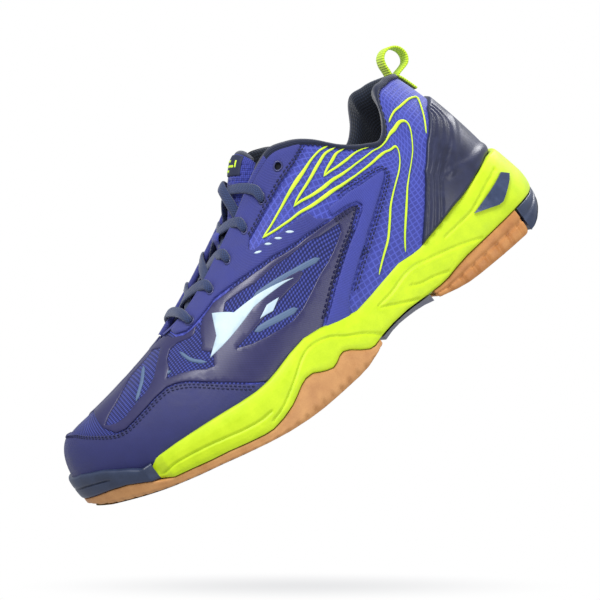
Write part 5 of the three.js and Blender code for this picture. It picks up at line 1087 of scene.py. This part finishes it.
# ---------------- pull tab ----------------
hs = surf(np.zeros(4), A([.80, .87, .93, .965]), 1.1)[:, [0, 2]]
pp = np.vstack([hs, A([[15.4, 104.7], [13.4, 108], [13.6, 111.5], [15.4, 114.4], [18.4, 116.0], [21.8, 116.0], [24.6, 114.2], [26.0, 110.9], [26.2, 107.4], [26.6, 104.2], [28.6, 100.0], [31.0, 96.5]])])
C, _ = catmull(pp, 90)
t = np.gradient(C, axis=0); t /= np.linalg.norm(t, axis=1, keepdims=True)
n2 = np.c_[t[:, 1], -t[:, 0]]
sec = [(y, z) for y, z in [(-5.5, 0), (-5.3, .45), (-4.9, .62), (-3, .66), (0, .66), (3, .66), (4.9, .62), (5.3, .45), (5.5, 0), (5.3, -.45), (4.9, -.62), (3, -.66), (0, -.66), (-3, -.66), (-4.9, -.62), (-5.3, -.45)]]
P = np.zeros((90, 16, 3))
for j, (y, z) in enumerate(sec):
    P[:, j, 0] = C[:, 0] + n2[:, 0] * z; P[:, j, 1] = y; P[:, j, 2] = C[:, 1] + n2[:, 1] * z
L = np.r_[0, np.cumsum(np.linalg.norm(np.diff(C, axis=0), axis=1))]
uv = np.stack([np.repeat(L[:, None], 16, 1), np.tile([y for y, z in sec], (90, 1))], -1)[..., ::-1].reshape(-1, 2)
F = gridfaces(90, 16, False, True) + [tuple(range(16))[::-1], tuple(89 * 16 + i for i in range(16))]
pt = obj("pull_tab_web", P.reshape(-1, 3), F, M["web"], body=None, uv=uv, slot="lime_webbing")
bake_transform(pt)
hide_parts("pull_tab")

# ---------------- footbed ----------------
ui = np.linspace(0, 2, 261)[:-1]
uu = np.where(ui <= 1, ui, ui - 2)
Oi = surf(uu, .06, -5.4)[:, :2]
q, d, f = sheetmesh(Oi, [], 1.6, 3.0, 2.0)
z = lin(Z_FEATHER, q[:, 0]) + 2.6 + 1.8 * np.sqrt(np.maximum(0, 1 - (1 - np.clip(d / 2.2, 0, 1)) ** 2))
ib = obj("footbed", np.c_[q, z], f, M["foot"], out=np.tile([0, 0, 1.0], (len(q), 1)), uv=q, slot="footbed")
Rb = np.stack([np.c_[Oi, lin(Z_FEATHER, Oi[:, 0]) + 2.6], np.c_[Oi, lin(Z_FEATHER, Oi[:, 0]) + .4]], 1)
grid("footbed_edge", Rb, M["foot"], cu=True, slot="footbed")
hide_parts("insole")

# ---------------- CAD pieces that stay, with their finishes ----------------
for node, m in (("badge_lateral", "badge"), ("badge_medial", "badge"), ("shank_plate", "navy"), ("strobel_board", "board"), ("toe_puff", "board"), ("heel_stiffener", "board")):
    for o in bpy.data.objects:
        if o.type == "MESH" and (o.name == node or o.get("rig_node") == node):
            o.data.materials.clear()
            o.data.materials.append(M[m])

# ---------------- stage, light ----------------
up = CU
PLANE = Vector(D((150.0, 0.0, 30.0)).tolist()) - up * .128
me = bpy.data.meshes.new("ground_shadow")
fwd = CB.cross(up).cross(up).normalized()
rt = CR
nb = 64
V = [tuple(PLANE)] + [tuple(PLANE + (rt * math.cos(a) * .15 + (CB - up * CB.dot(up)).normalized() * math.sin(a) * .08)) for a in np.arange(nb) * 2 * math.pi / nb]
me.from_pydata(V, [], [(0, 1 + i, 1 + (i + 1) % nb) for i in range(nb)])
me.validate()
lay = me.uv_layers.new(name="UVMap")
rad = [(0.0, 0.0)] + [(math.cos(a), math.sin(a)) for a in np.arange(nb) * 2 * math.pi / nb]
for lp in me.loops:
    lay.data[lp.index].uv = rad[lp.vertex_index]
gs = bpy.data.materials.new("ground_shadow")
gs.use_nodes = True
nt_ = gs.node_tree
nt_.nodes.clear()
out_ = nt_.nodes.new("ShaderNodeOutputMaterial")
mixs = nt_.nodes.new("ShaderNodeMixShader")
tr = nt_.nodes.new("ShaderNodeBsdfTransparent")
em = nt_.nodes.new("ShaderNodeEmission")
em.inputs["Color"].default_value = (.42, .43, .46, 1)
tcg = nt_.nodes.new("ShaderNodeTexCoord")
ln_ = nt_.nodes.new("ShaderNodeVectorMath"); ln_.operation = "LENGTH"
mr = nt_.nodes.new("ShaderNodeMapRange")
mr.interpolation_type = "SMOOTHSTEP"
mr.inputs["From Min"].default_value = 1.0
mr.inputs["From Max"].default_value = 0.0
mr.inputs["To Min"].default_value = 0.0
mr.inputs["To Max"].default_value = 0.32
nt_.links.new(tcg.outputs["UV"], ln_.inputs[0])
nt_.links.new(ln_.outputs["Value"], mr.inputs["Value"])
nt_.links.new(mr.outputs[0], mixs.inputs[0])
nt_.links.new(tr.outputs[0], mixs.inputs[1])
nt_.links.new(em.outputs[0], mixs.inputs[2])
nt_.links.new(mixs.outputs[0], out_.inputs[0])
me.materials.append(gs)
gobj = bpy.data.objects.new("ground_shadow", me)
bpy.context.scene.collection.objects.link(gobj)
gobj.visible_shadow = False

world = bpy.data.worlds.new("w")
bpy.context.scene.world = world
world.use_nodes = True
wn, wl = world.node_tree.nodes, world.node_tree.links
bg = wn["Background"]
lp_ = wn.new("ShaderNodeLightPath")
mw = wn.new("ShaderNodeMix"); mw.data_type = "RGBA"
wl.new(lp_.outputs["Is Camera Ray"], mw.inputs[0])
mw.inputs[6].default_value = (.60, .62, .66, 1)
mw.inputs[7].default_value = (1, 1, 1, 1)
wl.new(mw.outputs[2], bg.inputs["Color"])
bpy.context.scene.view_settings.view_transform = "Standard"


def light(name, at, size, power, target=(140, 0, 45)):
    l = bpy.data.lights.new(name, "AREA")
    l.shape = "DISK"; l.size = size; l.energy = power
    o = bpy.data.objects.new(name, l)
    bpy.context.scene.collection.objects.link(o)
    tg_ = Vector(D(target).tolist())
    o.location = tg_ + Vector(at)
    o.rotation_euler = (tg_ - o.location).to_track_quat("-Z", "Y").to_euler()


light("key", tuple(CB * .8 + CU * 1.1 + CR * -.5), .7, 17)
light("fill", tuple(CB * 1.0 + CU * .1 + CR * 1.0), .9, 6)
light("rim", tuple(CB * -.6 + CU * 1.0 + CR * .6), .6, 9)
